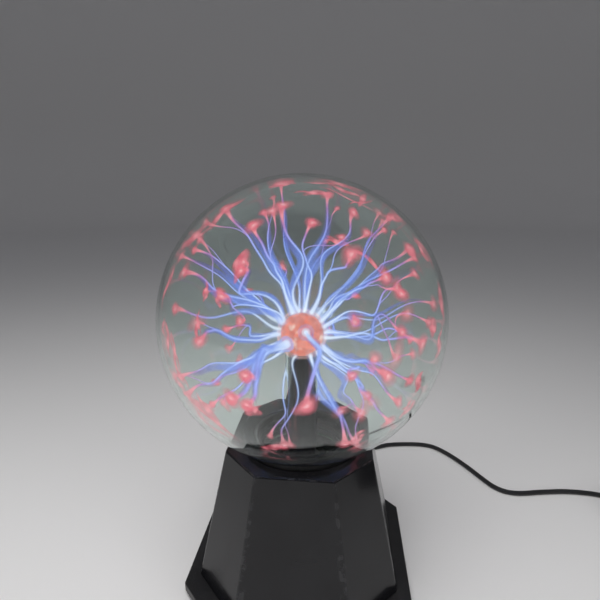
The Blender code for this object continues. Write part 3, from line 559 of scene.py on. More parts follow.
@dataclass(frozen=True)
class Ember(Finish):
    """The electrode's conductive wool, glowing unevenly, with white-hot points where strands root."""

    lit: bool = True
    power: float = 1.0

    def dress(self, sheet: Sheet) -> dict[str, Any]:
        """Tangled fibres are stretched cells; brighter lumps and a few hot points are laid over them."""
        place = sheet.object_place()
        fibres = sheet.edges(place, 700.0)
        strand = sheet.span(fibres, 0.0, 0.22)
        lumps = sheet.span(sheet.noise(place, 150.0, 5.0, 1.2), 0.34, 0.66)
        glow = sheet.mix(lumps, (0.40, 0.013, 0.006), (1.0, 0.130, 0.055))
        glow = sheet.mix(sheet.times(strand, 0.30), glow, (0.95, 0.30, 0.20))
        hot = sheet.span(sheet.noise(place, 95.0, 2.0), 0.60, 0.74)
        return {
            "Emission Color": sheet.mix(hot, glow, (1.0, 0.75, 0.68)),
            "Emission Strength": self.power,
            "Base Color": sheet.mix(strand, tuple(value * 2 for value in self.colour), self.colour),
            "Sheen Weight": 1.0,
            "Sheen Roughness": 0.20,
            "Sheen Tint": (1.0, 0.72, 0.70),
            "Normal": sheet.bump(strand, 0.0002),
        }


@dataclass(frozen=True)
class Sweep(Finish):
    """The studio's pale paper."""

    def dress(self, sheet: Sheet) -> dict[str, Any]:
        """A trace of fibre in the paper."""
        tone = tuple(value * 0.985 for value in self.colour)
        return {"Base Color": sheet.mix(sheet.noise(sheet.object_place(), 400.0, 3.0), self.colour, tone)}


WORN = (0.16, 0.16, 0.165)
DUSTY = (0.32, 0.30, 0.28)

CLEAR_GLASS = Glass("clear_glass", (0.915, 0.985, 0.960), 0.0)
EMBER = Ember("glowing_wool", (0.10, 0.02, 0.012), 0.6, power=0.95)
SLEEVE = Moulded("black_sleeve", (0.004, 0.004, 0.009), 0.50, grain=500.0, dust=0.0, shine=0.2)
RUBBER = Moulded("black_rubber", (0.018, 0.018, 0.018), 0.72, grain=700.0, relief=0.00005, dust=0.35)
GASKET = Foam("gasket_foam", (0.010, 0.010, 0.010), 0.95)
SATIN_BLACK = Moulded("satin_black", (0.009, 0.009, 0.010), 0.40, relief=0.00004, dust=0.35, shine=0.35)
ZINC = Metal("zinc_steel", (0.62, 0.62, 0.60), 0.28, 1.0)
BOARD = Moulded("board_green", (0.02, 0.13, 0.05), 0.40, grain=300.0, dust=0.2)
FERRITE = Moulded("ferrite", (0.05, 0.05, 0.055), 0.60, grain=500.0, relief=0.00006, dust=0.1)
TAPE = Moulded("winding_tape", (0.55, 0.40, 0.08), 0.35, grain=200.0, dust=0.1)
SINK = Metal("heat_sink_aluminium", (0.58, 0.59, 0.61), 0.35, 1.0)
COMPONENT = Moulded("component_black", (0.015, 0.015, 0.017), 0.38, dust=0.15)
CAPACITOR = Moulded("capacitor_blue", (0.03, 0.06, 0.22), 0.30, dust=0.1)
BRIGHT = Metal("bright_metal", (0.80, 0.79, 0.76), 0.16, 1.0, lines=0.5)
LEAD_RED = Moulded("lead_red", (0.42, 0.02, 0.02), 0.45, dust=0.0)
CORD = Moulded("cord_black", (0.012, 0.012, 0.013), 0.42, grain=1400.0, relief=0.00002, dust=0.25)
PAPER = Sweep("paper", (0.80, 0.79, 0.78), 0.9)

ICE = (0.62, 0.74, 1.0)
SKY = (0.36, 0.48, 0.98)
PERIWINKLE = (0.20, 0.30, 0.86)
IRIS = (0.15, 0.18, 0.62)
DUSK = (0.17, 0.11, 0.38)
MAUVE = (0.44, 0.20, 0.46)
CORAL = (0.70, 0.135, 0.185)
ROSE = (0.92, 0.30, 0.35)
BLUSH = (1.0, 0.60, 0.62)

THREAD_GLOW = Glow(
    "thread_glow", power=1.20, fade=(0.90, 1.0), left=0.80, mottle=0.10,
    stops=(
        (0.0, (0.82, 0.88, 1.0)), (0.22, ICE), (0.52, SKY), (0.76, (0.40, 0.36, 0.85)),
        (0.86, MAUVE), (0.93, ROSE), (1.0, CORAL),
    ),
)
VEIL_GLOW = Glow(
    "veil_glow", power=1.0, fade=(0.30, 1.0), left=0.40, mottle=0.35,
    stops=(
        (0.0, SKY), (0.18, PERIWINKLE), (0.45, PERIWINKLE), (0.65, IRIS), (0.82, DUSK),
        (0.92, MAUVE), (1.0, CORAL),
    ),
)
SPOT_GLOW = Glow(
    "spot_glow", power=1.05, mottle=0.40,
    stops=((0.0, CORAL), (0.45, CORAL), (0.75, ROSE), (1.0, BLUSH)),
)
CORONA_GLOW = Glow(
    "corona_glow", power=1.1, mottle=0.55, stops=((0.0, (1.0, 0.40, 0.34)), (1.0, (1.0, 0.66, 0.64))),
)
TUFT_GLOW = Glow(
    "tuft_glow", power=1.15, mottle=0.60, stops=((0.0, SKY), (0.6, ICE), (1.0, (0.86, 0.97, 1.0))),
)


# ---------------------------------------------------------------- mesh tools


def quads_of(index: Array) -> Array:
    """Quads (i, j), (i, j+1), (i+1, j+1) and (i+1, j) of point numbers laid out in rows and columns."""
    corners = (index[..., :-1, :-1], index[..., :-1, 1:], index[..., 1:, 1:], index[..., 1:, :-1])
    return np.stack(corners, axis=-1).reshape(-1, 4)


def grid_piece(
    name: str,
    points: Array,
    finish: Finish,
    *,
    round_rows: bool = False,
    values: dict[str, Array] | None = None,
) -> bpy.types.Object:
    """One mesh of quads from one or more grids of points, with its poles closed and its faces outward.

    Columns always run round and close on themselves. The mesh's signed volume, a sixth of the sum of each
    face's triple products, says which way its faces look, and they are turned if it is negative.

    Args:
        name: the piece's name.
        points: (shapes, rows, columns, 3).
        finish: the piece's finish.
        round_rows: whether the last row joins the first.
        values: point attributes, each (shapes, rows, columns) or broadcast to it.

    Returns:
        The object.
    """
    index = np.arange(points[..., 0].size).reshape(points.shape[:3])
    index = np.concatenate([index, index[:, :, :1]], axis=2)
    if round_rows:
        index = np.concatenate([index, index[:, :1]], axis=1)
    quads = quads_of(index)
    flat = points.reshape(-1, 3)
    a, b, c, d = (flat[quads[:, k]] for k in range(4))
    volume = (np.cross(a, b) * c).sum() + (np.cross(a, c) * d).sum()
    mesh = bpy.data.meshes.new(name)
    mesh.from_pydata(flat, [], quads if volume > 0 else quads[:, ::-1])
    for key, value in (values or {}).items():
        spread = np.broadcast_to(value, points.shape[:3]).astype(np.float32).ravel()
        mesh.attributes.new(key, "FLOAT", "POINT").data.foreach_set("value", spread)
    return piece_of(name, closed(mesh), finish)


def closed(mesh: bpy.types.Mesh, near: float = 1e-6) -> bpy.types.Mesh:
    """The mesh with points that coincide merged, which closes its poles, and shaded smooth."""
    bm = bmesh.new()
    bm.from_mesh(mesh)
    bmesh.ops.remove_doubles(bm, verts=bm.verts, dist=near)
    bmesh.ops.dissolve_degenerate(bm, edges=bm.edges, dist=near / 10)
    bm.to_mesh(mesh)
    bm.free()
    mesh.shade_smooth()
    return mesh


def placed(name: str, data: bpy.types.ID) -> bpy.types.Object:
    """A new object for a mesh, curve, light or camera, in the scene."""
    made = bpy.data.objects.new(name, data)
    bpy.context.scene.collection.objects.link(made)
    return made


def piece_of(name: str, mesh: bpy.types.Mesh, finish: Finish) -> bpy.types.Object:
    """An object at the origin for a mesh, with its finish, riding on the lamp."""
    mesh.materials.clear()
    mesh.materials.append(finish.material())
    piece = placed(name, mesh)
    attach(piece, LAMP)
    LOG.info("%s: %d faces", name, len(mesh.polygons))
    return piece


def turned(
    name: str, outline: Array, finish: Finish, sides: int, round_rows: bool = False
) -> bpy.types.Object:
    """A turned piece: each (radius, height) of the outline carried round the Z axis in even steps.

    Args:
        name: the piece's name.
        outline: (count, 2).
        finish: its finish.
        sides: steps round the axis.
        round_rows: whether the outline closes on itself.

    Returns:
        The object.
    """
    grid = carried_round(outline[:, :1], outline[:, 1:], bearings(sides))
    return grid_piece(name, grid[None], finish, round_rows=round_rows)


def arc_outline(radius: float, height: float, start: float, end: float, steps: int) -> Array:
    """(radius, height) points on a circle about the axis, for angles in degrees from the top."""
    angle = np.radians(np.linspace(start, end, steps + 1))
    return np.stack([np.abs(radius * np.sin(angle)), height + radius * np.cos(angle)], axis=1)


def tubes(paths: Array, wide: Array, thin: Array, like: Array, sides: int) -> Array:
    """Tubes along paths, with elliptical sections and closed ends.

    A point is P(s) + wide(s) cos(a) u + thin(s) sin(a) v, with u and v square to the path, and the first
    and last rows shrink to the path's own ends.

    Args:
        paths: (shapes, rows, 3).
        wide: the section's half width, (shapes, rows).
        thin: the section's half thickness, (shapes, rows).
        like: vectors that the width keeps nearest to, which broadcast to the paths.
        sides: points round a section.

    Returns:
        The grids, (shapes, rows + 2, sides, 3).
    """
    along = unit(np.gradient(paths, axis=1))
    u, v = across(along, like)
    turn = bearings(sides)[:, None]
    aside = wide[..., None, None] * np.cos(turn) * u[:, :, None]
    rings = paths[:, :, None] + (aside + thin[..., None, None] * np.sin(turn) * v[:, :, None])
    ends = [np.repeat(paths[:, k, None, None], sides, axis=2) for k in (0, -1)]
    return np.concatenate([ends[0], rings, ends[1]], axis=1)


def capped(values: Array) -> Array:
    """Values along a path repeated for the closed ends of its tube."""
    return np.concatenate([values[:, :1], values, values[:, -1:]], axis=1)


# ---------------------------------------------------------------- the studio


@dataclass(frozen=True)
class SoftBox:
    """A round soft light: its place, how it is turned in degrees, its width and its power in watts."""

    name: str
    place: Place
    turn: tuple[float, float, float]
    width: float
    power: float

    def hang(self) -> None:
        """Puts the light up. It leaves no glare on the glass, where it would hide the discharge."""
        data = bpy.data.lights.new(self.name, "AREA")
        data.shape = "DISK"
        data.size = self.width
        data.energy = self.power
        light = placed(self.name, data)
        light.location = self.place
        light.rotation_euler = np.radians(self.turn)
        light.visible_glossy = False
        light.visible_transmission = False


@dataclass(frozen=True)
class Studio:
    """The camera, the pale sweep, a soft box overhead and a dim one to each side, and a faint fill."""

    eye: Place = (0.02756, -0.29531, 0.29922)
    turn: tuple[float, float, float] = (74.91, 0.0, 5.61)
    lens: float = 25.91
    sensor: float = 36.0
    nearest: float = 0.01
    paper_radius: float = 3.0
    paper_bend: float = 0.8
    paper_top: float = 3.4
    paper_sides: int = 96
    boxes: tuple[SoftBox, ...] = (
        SoftBox("overhead", (-0.10, -0.32, 0.95), (-20, -5, 0), 0.7, 7.6),
        SoftBox("left", (-1.1, -0.8, 0.5), (76, 0, -54), 0.7, 3.4),
        SoftBox("right", (1.1, -0.7, 0.5), (76, 0, 57), 0.7, 2.6),
    )
    fill: Colour = (0.90, 0.92, 1.0)
    fill_strength: float = 0.20
    layers: int = 64  # of lit gas that a ray may pass

    def place_camera(self) -> None:
        """The camera, looking a little down on the ball from the front."""
        data = bpy.data.cameras.new("camera")
        data.lens = self.lens
        data.sensor_width = self.sensor
        data.clip_start = self.nearest
        camera = placed("camera", data)
        camera.location = self.eye
        camera.rotation_euler = np.radians(self.turn)
        bpy.context.scene.camera = camera

    def lay_paper(self) -> None:
        """The sweep: a round floor that bends up into a wall through a quarter circle."""
        turn = np.radians(np.linspace(0, 90, 17))
        radius = self.paper_radius + self.paper_bend * np.sin(turn)
        height = self.paper_bend * (1 - np.cos(turn))
        radius = np.concatenate([[0.0, 0.5, 1.5], radius, radius[-1:]])[:, None]
        height = np.concatenate([[0.0, 0.0, 0.0], height, [self.paper_top]])[:, None]
        grid = carried_round(radius, height, np.linspace(0, 2 * math.pi, self.paper_sides + 1))
        index = np.arange(grid[..., 0].size).reshape(grid.shape[:2])
        mesh = bpy.data.meshes.new("floor")
        mesh.from_pydata(grid.reshape(-1, 3), [], quads_of(index.T))
        closed(mesh).materials.append(PAPER.material())
        placed("floor", mesh)

    def light_room(self) -> None:
        """The soft boxes, the fill, and how the picture is worked out."""
        for box in self.boxes:
            box.hang()
        scene = bpy.context.scene
        scene.world = bpy.data.worlds.new("room")
        scene.world.use_nodes = True
        background = scene.world.node_tree.nodes["Background"]
        background.inputs["Color"].default_value = (*self.fill, 1.0)
        background.inputs["Strength"].default_value = self.fill_strength
        scene.cycles.transparent_max_bounces = self.layers
        scene.view_settings.view_transform = "Standard"

    def build(self) -> None:
        """Everything round the lamp."""
        self.place_camera()
        self.lay_paper()
        self.light_room()


# ---------------------------------------------------------------- the power lead


@dataclass(frozen=True)
class PowerLead:
    """The low-voltage lead: from the plug down to the table, round its coil and to the adapter."""

    exit: Place = (0.018, 0.1070, 0.0214)
    diameter: float = 0.0045
    rest: float = 0.00235  # the lead's middle above the table
    coil_centre: tuple[float, float] = (0.322, 0.066)
    coil_radius: float = 0.0245
    coil_lift: float = 0.0013  # the lowest layer above the table
    turns: float = 7.25
    turn_steps: int = 36
    pitch: float = 1.06  # between neighbouring turns, in diameters
    layer: float = 0.98  # between layers, against the pitch
    hop: float = 0.28  # the share of a turn over which it moves to the next seat
    seats: tuple[tuple[int, int], ...] = (
        (2, 0), (1, 0), (0, 0), (0, 1), (1, 1), (2, 1), (2, 2), (1, 2), (1, 2),
    )
    relief_tip: Place = (0.3465, 0.0116, 0.014)
    spacing: float = 0.004  # between the curve's points
    route: tuple[tuple[float, float], ...] = (
        (0.0750, 0.1536), (0.0870, 0.1590), (0.1060, 0.1625), (0.1250, 0.1635), (0.1370, 0.1610),
        (0.1455, 0.1550), (0.1570, 0.1425), (0.1685, 0.1255), (0.1780, 0.1090), (0.1865, 0.0960),
        (0.1960, 0.0895), (0.2080, 0.0882), (0.2300, 0.0920), (0.2560, 0.0955), (0.2780, 0.0950),
        (0.2945, 0.0924),
    )

    def fall(self) -> list[Place]:
        """From the plug's grip, straight out and then down to the table."""
        x, y, z = self.exit
        return [
            (x, y + HAIR, z),
            (x, y + HAIR + 0.0045, z),
            (x + 0.0008, y + HAIR + 0.0100, z - 0.0006),
            (x + 0.0050, y + HAIR + 0.0170, z - 0.0030),
            (0.0364, 0.1345, self.rest + 0.0066),
            (0.0547, 0.1444, self.rest + 0.0008),
        ]

    def coil(self) -> Array:
        """The stored turns, clockwise from above.

        The bearing falls evenly. Each turn keeps its seat, a column and a layer, and eases to the next one
        over its last part, so that neighbours lie a diameter apart.

        Returns:
            Points round the coil.
        """
        pitch = self.diameter * self.pitch
        turn = np.linspace(0, self.turns, round(self.turns * self.turn_steps) + 1)
        whole = np.minimum(np.floor(turn), math.ceil(self.turns) - 1).astype(int)
        seats = np.array(self.seats)
        share = ease((turn - whole - (1 - self.hop)) / self.hop)[:, None]
        seat = seats[whole] * (1 - share) + seats[whole + 1] * share
        radius = self.coil_radius + (seat[:, 0] - 1) * pitch
        height = self.coil_lift + self.diameter / 2 + seat[:, 1] * pitch * self.layer
        bearing = math.pi / 2 - 2 * math.pi * turn
        x, y = self.coil_centre
        return np.stack([x + radius * np.cos(bearing), y + radius * np.sin(bearing), height], axis=1)

    def build(self) -> None:
        """The lead as one curve of one spline, in place of the CAD lead, coil and tail, which are hidden."""
        laid = [(x, y, self.rest) for x, y in self.route]
        coil = self.coil()
        tip_x, tip_y, tip_z = self.relief_tip
        last = coil[-1]
        tail = [
            (tip_x, last[1] - 0.012, last[2] - 0.0002),
            (tip_x, last[1] - 0.028, (last[2] + tip_z) / 2 - 0.0008),
            (tip_x, tip_y + 0.009, tip_z),
            (tip_x, tip_y, tip_z),
        ]
        lead_in = smooth_route([*self.fall(), *laid, *coil[:2]], self.spacing)
        start = lead_in[: np.argmin(np.linalg.norm(lead_in - coil[0], axis=1))]
        tail_route = smooth_route([*coil[-2:], *tail], self.spacing)
        end = tail_route[np.argmin(np.linalg.norm(tail_route - last, axis=1)) + 1 :]
        points = np.vstack([start, coil, end])
        curve = bpy.data.curves.new("power_flex", "CURVE")
        curve.dimensions = "3D"
        curve.bevel_depth = self.diameter / 2
        curve.bevel_resolution = 4
        curve.use_fill_caps = True
        spline = curve.splines.new("POLY")
        spline.points.add(len(points) - 1)
        spline.points.foreach_set("co", np.hstack([points, np.ones((len(points), 1))]).ravel())
        spline.use_smooth = True
        curve.materials.append(CORD.material())
        flex = placed("power_flex", curve)
        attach(flex, LAMP)
        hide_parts("power_lead", "lead_coil", "lead_tail")


# ---------------------------------------------------------------- glass


@dataclass(frozen=True)
class Glassware:
    """The blown globe with its neck, and the stem with its hollow ball, as smooth shells."""

    globe_radius: float = 0.100
    wall: float = 0.0022
    neck_radius: float = 0.0357
    neck_bottom: float = 0.0906
    globe_z: float = 0.20598
    ball_radius: float = 0.0172
    ball_z: float = 0.19368
    stem_radius: float = 0.0123
    stem_wall: float = 0.0010
    flare_height: float = 0.012
    soft: float = 0.0004  # how far the neck's corners are rounded
    sides: int = 128

    def globe_outline(self) -> Array:
        """Down the outside of the ball and neck, and up the inside: two circles' arcs and two cylinders."""
        inner = self.globe_radius - self.wall
        neck_inner = self.neck_radius - self.wall
        turn = 180 - math.degrees(math.asin(self.neck_radius / self.globe_radius))
        inner_turn = 180 - math.degrees(math.asin(neck_inner / inner))
        outside = arc_outline(self.globe_radius, self.globe_z, 0, turn, 72)
        inside = arc_outline(inner, self.globe_z, inner_turn, 0, 72)
        foot = np.array([
            (self.neck_radius, outside[-1, 1] - self.soft),
            (self.neck_radius, self.neck_bottom + self.soft),
            (self.neck_radius - self.soft, self.neck_bottom),
            (neck_inner + self.soft, self.neck_bottom),
            (neck_inner, self.neck_bottom + self.soft),
            (neck_inner, inside[0, 1] - self.soft),
        ])
        return np.vstack([outside, foot, inside])

    def stem_outline(self) -> Array:
        """Over the hollow ball, down the tube, out along the flare's quarter ellipse and back inside."""
        inner_ball = self.ball_radius - self.stem_wall
        inner_tube = self.stem_radius - self.stem_wall
        turn = 180 - math.degrees(math.asin(self.stem_radius / self.ball_radius))
        inner_turn = 180 - math.degrees(math.asin(inner_tube / inner_ball))
        return np.vstack([
            arc_outline(self.ball_radius, self.ball_z, 0, turn, 40),
            self.flare(0.0),
            self.flare(self.stem_wall)[::-1],
            arc_outline(inner_ball, self.ball_z, inner_turn, 0, 40),
        ])

    def flare(self, offset: float) -> Array:
        """The flare's quarter ellipse, moved in by offset along its normal."""
        angle = np.radians(np.linspace(0, 90, 15))
        reach = self.neck_radius - self.wall - HAIR - self.stem_radius
        radius = self.stem_radius + reach * (1 - np.cos(angle)) - offset * np.cos(angle)
        height = self.neck_bottom + self.stem_wall + self.flare_height * (1 - np.sin(angle))
        return np.stack([radius, height - offset * np.sin(angle)], axis=1)

    def build(self) -> None:
        """The two shells, which let light through without a shadow."""
        globe = turned("globe_shell", self.globe_outline(), CLEAR_GLASS, self.sides)
        stem = turned("stem_shell", self.stem_outline(), CLEAR_GLASS, self.sides // 2)
        for shell, node in ((globe, "globe_glass"), (stem, "stem_glass")):
            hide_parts(node)
            shell.visible_shadow = False


# ---------------------------------------------------------------- electrode


@dataclass(frozen=True)
class Electrode:
    """The wool in the stem's ball: a lumpy ball that glows."""

    radius: float = 0.0159
    dent: float = 0.0007
    sides: int = 96
    seed: int = 5
    waves: tuple[tuple[float, float], ...] = ((4.0, 0.45), (9.0, 0.35), (19.0, 0.20))  # pace and size

    def build(self, middle: float) -> None:
        """A ball whose radius dips by a sum of slow and quick waves over its bearing and height.

        Args:
            middle: the ball's centre above the table.
        """
        way = ball_ways(self.sides // 2 + 1, self.sides)
        rng = np.random.default_rng(self.seed)
        depth = np.zeros(way.shape[:2])
        for pace, size in self.waves:
            lines = unit(rng.normal(size=(6, 3))) * pace
            depth += size * np.cos(way @ lines.T + rng.uniform(0, 2 * math.pi, 6)).mean(-1)
        radius = self.radius - self.dent * (0.5 + depth).clip(0, 1)
        grid = way * radius[..., None] + on_axis(middle)
        wool = grid_piece("wool_ball", grid[None], EMBER)
        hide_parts("electrode_wool")


# ---------------------------------------------------------------- the discharge


class Side(Enum):
    """Whether a strand meets the glass on the viewer's side of the ball or beyond its middle."""

    NEAR = -1
    FAR = 1


# Where strands meet the glass, listed: the bearing in degrees anticlockwise from the right as
# the front of the ball is seen, and the reach from 0 at the middle of its outline to 1 at its edge.
ENDS: dict[Side, tuple[tuple[float, float], ...]] = {
    Side.NEAR: (
        (100, 0.80), (118, 0.73), (142, 0.54), (84, 0.67), (64, 0.82), (52, 0.56), (26, 0.65), (14, 0.71),
        (352, 0.70), (348, 0.85), (356, 0.37), (311, 0.53), (326, 0.71), (310, 0.70), (319, 0.88),
        (302, 0.77), (273, 0.61), (238, 0.71), (229, 0.74), (226, 0.56), (214, 0.95), (206, 0.93),
        (193, 0.73), (165, 0.58), (176, 0.88), (159, 0.88), (125, 0.93), (33, 0.89), (289, 0.91),
        (262, 0.88),
    ),
    Side.FAR: (
        (99, 0.97), (110, 0.80), (112, 0.39), (47, 0.86), (73, 0.57), (28, 0.91), (23, 0.41), (6, 0.94),
        (358, 0.90), (349, 0.78), (333, 0.22), (323, 0.62), (330, 0.88), (310, 0.95), (293, 0.95),
        (255, 0.86), (224, 0.88), (216, 0.55), (217, 0.76), (189, 0.54), (165, 0.71), (153, 0.97),
        (148, 0.91), (154, 0.43), (49, 0.95), (78, 0.90),
    ),
}


# Where strands root on the electrode's outline, by bearing. Strands to nearby ends share a root.
ROOTS = (5, 18, 33, 47, 68, 84, 97, 112, 150, 166, 178, 191, 205, 222, 252, 272, 292, 312, 328, 350)

# Strands that root on the electrode's front instead: their ends' bearing, how near to it they are, the
# furthest reach, and the root's place as shares of right, up and ahead.
FRONT_ROOTS = (
    (231, 9, 1.0, (-0.62, -0.38, -0.75)),
    (273, 4, 0.7, (0.16, 0.10, -1.0)),
)

# Streaks on the inside of the glass: bearing from and to, reach from and to, and half width in millimetres.
STREAKS = (
    (117, 137, 0.966, 0.920, 1.7), (134, 152, 0.918, 0.975, 2.0), (156, 177, 0.955, 0.978, 1.0),
    (128, 150, 0.622, 0.538, 3.0), (161, 171, 0.705, 0.703, 1.6), (178, 191, 0.726, 0.740, 1.3),
    (160, 169, 0.62, 0.58, 1.9), (181, 197, 0.968, 0.972, 1.6), (186, 205, 0.93, 0.955, 1.3),
    (104, 94, 0.975, 0.985, 2.2), (84, 63, 0.978, 0.990, 1.8), (79, 62, 0.955, 0.930, 1.2),
    (63, 63, 0.985, 0.880, 1.0), (90, 76, 0.871, 0.896, 1.4), (74, 56, 0.600, 0.610, 2.2),
    (56, 26, 0.600, 0.660, 1.9), (50, 45, 0.93, 0.985, 1.8), (35, 24, 0.975, 0.992, 1.6),
    (34, 30, 0.87, 0.915, 2.4), (15, 1, 0.970, 0.985, 2.3), (0, -8, 0.90, 0.92, 2.0),
    (-8, -17, 0.965, 0.97, 1.5), (-24, -33, 0.90, 0.93, 1.7), (-36, -46, 0.96, 0.965, 1.4),
    (-60, -70, 0.90, 0.93, 1.5), (-96, -108, 0.91, 0.95, 1.9), (-118, -146, 0.955, 0.965, 1.8),
    (-128, -144, 0.90, 0.93, 2.1), (-113, -121, 0.70, 0.76, 2.4), (-148, -158, 0.955, 0.965, 1.3),
)


@dataclass(frozen=True)
class Discharge:
    """The lit gas: strands from the electrode to the glass, their veils, and glows on the glass."""

    ball: float = 0.0172  # the electrode's glass
    inside: float = 0.0978  # the globe's inner radius
    film: float = 0.0004  # between a strand's end and the globe
    ball_z: float = 0.19368
    globe_z: float = 0.20598
    steps: int = 44
    seed: int = 20
    flat: float = 0.40  # how far a root lies towards the viewer or away, against the electrode's radius
    eye: Place = Studio.eye
    scatter: float = 0.14  # of the ways in which strands arrive
    leave_pull: float = 0.42  # the curves' inner control points, against the chord
    arrive_pull: float = 0.28
    # A strand's waves: pace along it, size against its sway, and whether its bundle shares the wave.
    waves: tuple[tuple[float, float, bool], ...] = (
        (1.0, 0.50, True), (1.9, 0.55, True), (3.4, 0.20, False), (7.0, 0.045, False),
    )
    thread_size: tuple[float, float] = (0.00030, 0.00052)  # radii, from thinnest to thickest
    front_size: float = 0.00075  # of the strands that root on the electrode's front
    fork_size: tuple[float, float] = (0.00020, 0.00030)
    fork_share: float = 0.5  # forks to a strand
    fork_spread: float = 0.52
    fork_rows: tuple[float, float] = (0.42, 0.78)  # where along the trunk forks leave it
    veil_share: float = 0.75  # veils to a strand
    veil_size: tuple[float, float] = (0.0016, 0.0042)
    veil_drift: float = 0.0016
    patch_size: tuple[float, float] = (0.0034, 0.0064)
    flare_size: float = 0.0029
    flare_reach: float = 0.0032
    ending_reach: float = 0.0035  # over which a bright thread thins out as it ends
    # A strand's layers: piece, radius against the thread's, flare against its own, body and finish.
    layers: tuple[tuple[str, float, float, float, Glow], ...] = (
        ("strand_threads", 1.0, 0.8, 0.85, THREAD_GLOW),
        ("strand_sheaths", 2.0, 1.0, 0.30, THREAD_GLOW),
        ("strand_haloes", 3.8, 1.25, 0.16, VEIL_GLOW),
    )
    bands: tuple[tuple[float, float], ...] = ((1.0, 0.20), (0.78, 0.24), (0.52, 0.28))  # width and body
    ribbon: float = 0.00012  # the half thickness of a streak on the glass

    def tips(self, ends: Array) -> Array:
        """Where strands with these ends, as directions from the globe's centre, stop short of the glass."""
        return ends * (self.inside - self.film) + on_axis(self.globe_z)

    def sight(self) -> tuple[Array, Array, Array, float]:
        """Unit vectors ahead, right and up as the eye looks at the ball's centre, and how far off it is."""
        to_middle = on_axis(self.globe_z) - np.array(self.eye)
        distance = float(np.linalg.norm(to_middle))
        ahead = to_middle / distance
        right = unit(np.cross(ahead, [0, 0, 1]))
        return ahead, right, np.cross(right, ahead), distance

    def sighted(self, clock: Array, reach: Array, beyond: Array) -> Array:
        """Directions from the ball's centre to where sight lines meet the inside of the glass.

        A sight line leaves the eye at an angle from the ball's centre whose tangent is reach times that of
        the ball's outline, and meets the inner sphere at t = b - sqrt(b^2 - c) near by or b + sqrt(b^2 - c)
        beyond, where b is its dot product with the way to the centre.

        Args:
            clock: bearings round the way to the centre, in degrees anticlockwise from the right, (...).
            reach: shares of the outline's tangent.
            beyond: -1 for the near meeting and 1 for the far one.

        Returns:
            Unit vectors, (..., 3).
        """
        ahead, right, up, distance = self.sight()
        clock = np.radians(clock)[..., None]
        spread = (reach * math.tan(math.asin(self.inside / distance)))[..., None]
        line = unit(ahead + spread * (np.cos(clock) * right + np.sin(clock) * up))
        b = line @ (ahead * distance)
        root = np.sqrt((b * b - distance**2 + self.inside**2).clip(0))
        return unit((b + beyond * root)[..., None] * line - ahead * distance)

    def roots(self, clock: Array, reach: Array, beyond: Array) -> tuple[Array, Array]:
        """Where each strand leaves the electrode.

        A strand takes the root whose bearing is nearest to its end's, as seen from the electrode. A root
        lies on the electrode's outline, a little towards its end. A few near ends root on its front instead.

        Args:
            clock: the ends' bearings in degrees.
            reach: the ends' reaches.
            beyond: -1 for near ends and 1 for far ones.

        Returns:
            Unit vectors from the electrode's centre, and the number of each strand's root, which is past the
            end of ROOTS for those on the front.
        """
        ahead, right, up, _ = self.sight()
        lift = (self.globe_z - self.ball_z) / self.inside
        turn = np.radians(clock)
        aim = np.degrees(np.arctan2(reach * np.sin(turn) + lift, reach * np.cos(turn)))
        gap = (aim[:, None] - np.array(ROOTS) + 180) % 360 - 180
        chosen = np.abs(gap).argmin(axis=1)
        bearing = np.radians(np.array(ROOTS)[chosen] + 0.25 * gap[np.arange(len(aim)), chosen])[:, None]
        way = np.cos(bearing) * right + np.sin(bearing) * up + self.flat * beyond[:, None] * ahead
        on_front = np.zeros(len(clock), bool)
        for middle, within, furthest, place in FRONT_ROOTS:
            moved = (beyond < 0) & (np.abs(clock - middle) < within) & (reach < furthest)
            way = np.where(moved[:, None], np.array(place) @ np.stack([right, up, ahead]), way)
            on_front |= moved
        return unit(way), chosen + len(ROOTS) * on_front

    def arches(
        self,
        start: Array,
        leave: Array,
        end: Array,
        arrive: Array,
        sway: Array,
        bundle: Array,
        rng: np.random.Generator,
    ) -> Array:
        """Cubic Bezier curves with slow sideways waves that die out at both ends.

        B(s) = (1-s)^3 P0 + 3 s (1-s)^2 P1 + 3 s^2 (1-s) P2 + s^3 P3, with P1 ahead of P0 along leave and P2
        short of P3 along arrive. Each wave adds a sine of s, times (sin pi s)^0.8, across the chord, and the
        strands of one bundle share their slow waves.

        Args:
            start: first points, (count, 3).
            leave: unit vectors at the start.
            end: last points.
            arrive: unit vectors at the end.
            sway: the waves' size against the chord, (count,).
            bundle: the number of each strand's bundle.
            rng: where the waves' sizes and phases come from.

        Returns:
            The paths, (count, steps, 3).
        """
        count = len(start)
        s = np.linspace(0, 1, self.steps)[None, :, None]
        length = np.linalg.norm(end - start, axis=1)[:, None, None]
        p0, p3 = start[:, None], end[:, None]
        p1 = p0 + leave[:, None] * length * self.leave_pull
        p2 = p3 - arrive[:, None] * length * self.arrive_pull
        curve = (1 - s) ** 3 * p0 + 3 * s * (1 - s) ** 2 * p1 + 3 * s**2 * (1 - s) * p2 + s**3 * p3
        sides = across(unit(end - start), UPWARD)
        hold = np.sin(math.pi * s) ** 0.8
        for pace, size, shared in self.waves:
            for side in sides:
                draws = bundle.max() + 1 if shared else count
                phase = rng.uniform(0, 2 * math.pi, (draws, 1, 1))
                amount = rng.normal(0, size, (draws, 1, 1))
                if shared:
                    phase, amount = phase[bundle], amount[bundle]
                wave = amount * sway[:, None, None] * length * np.sin(math.pi * pace * s + phase)
                curve = curve + hold * wave * side[:, None]
        return curve

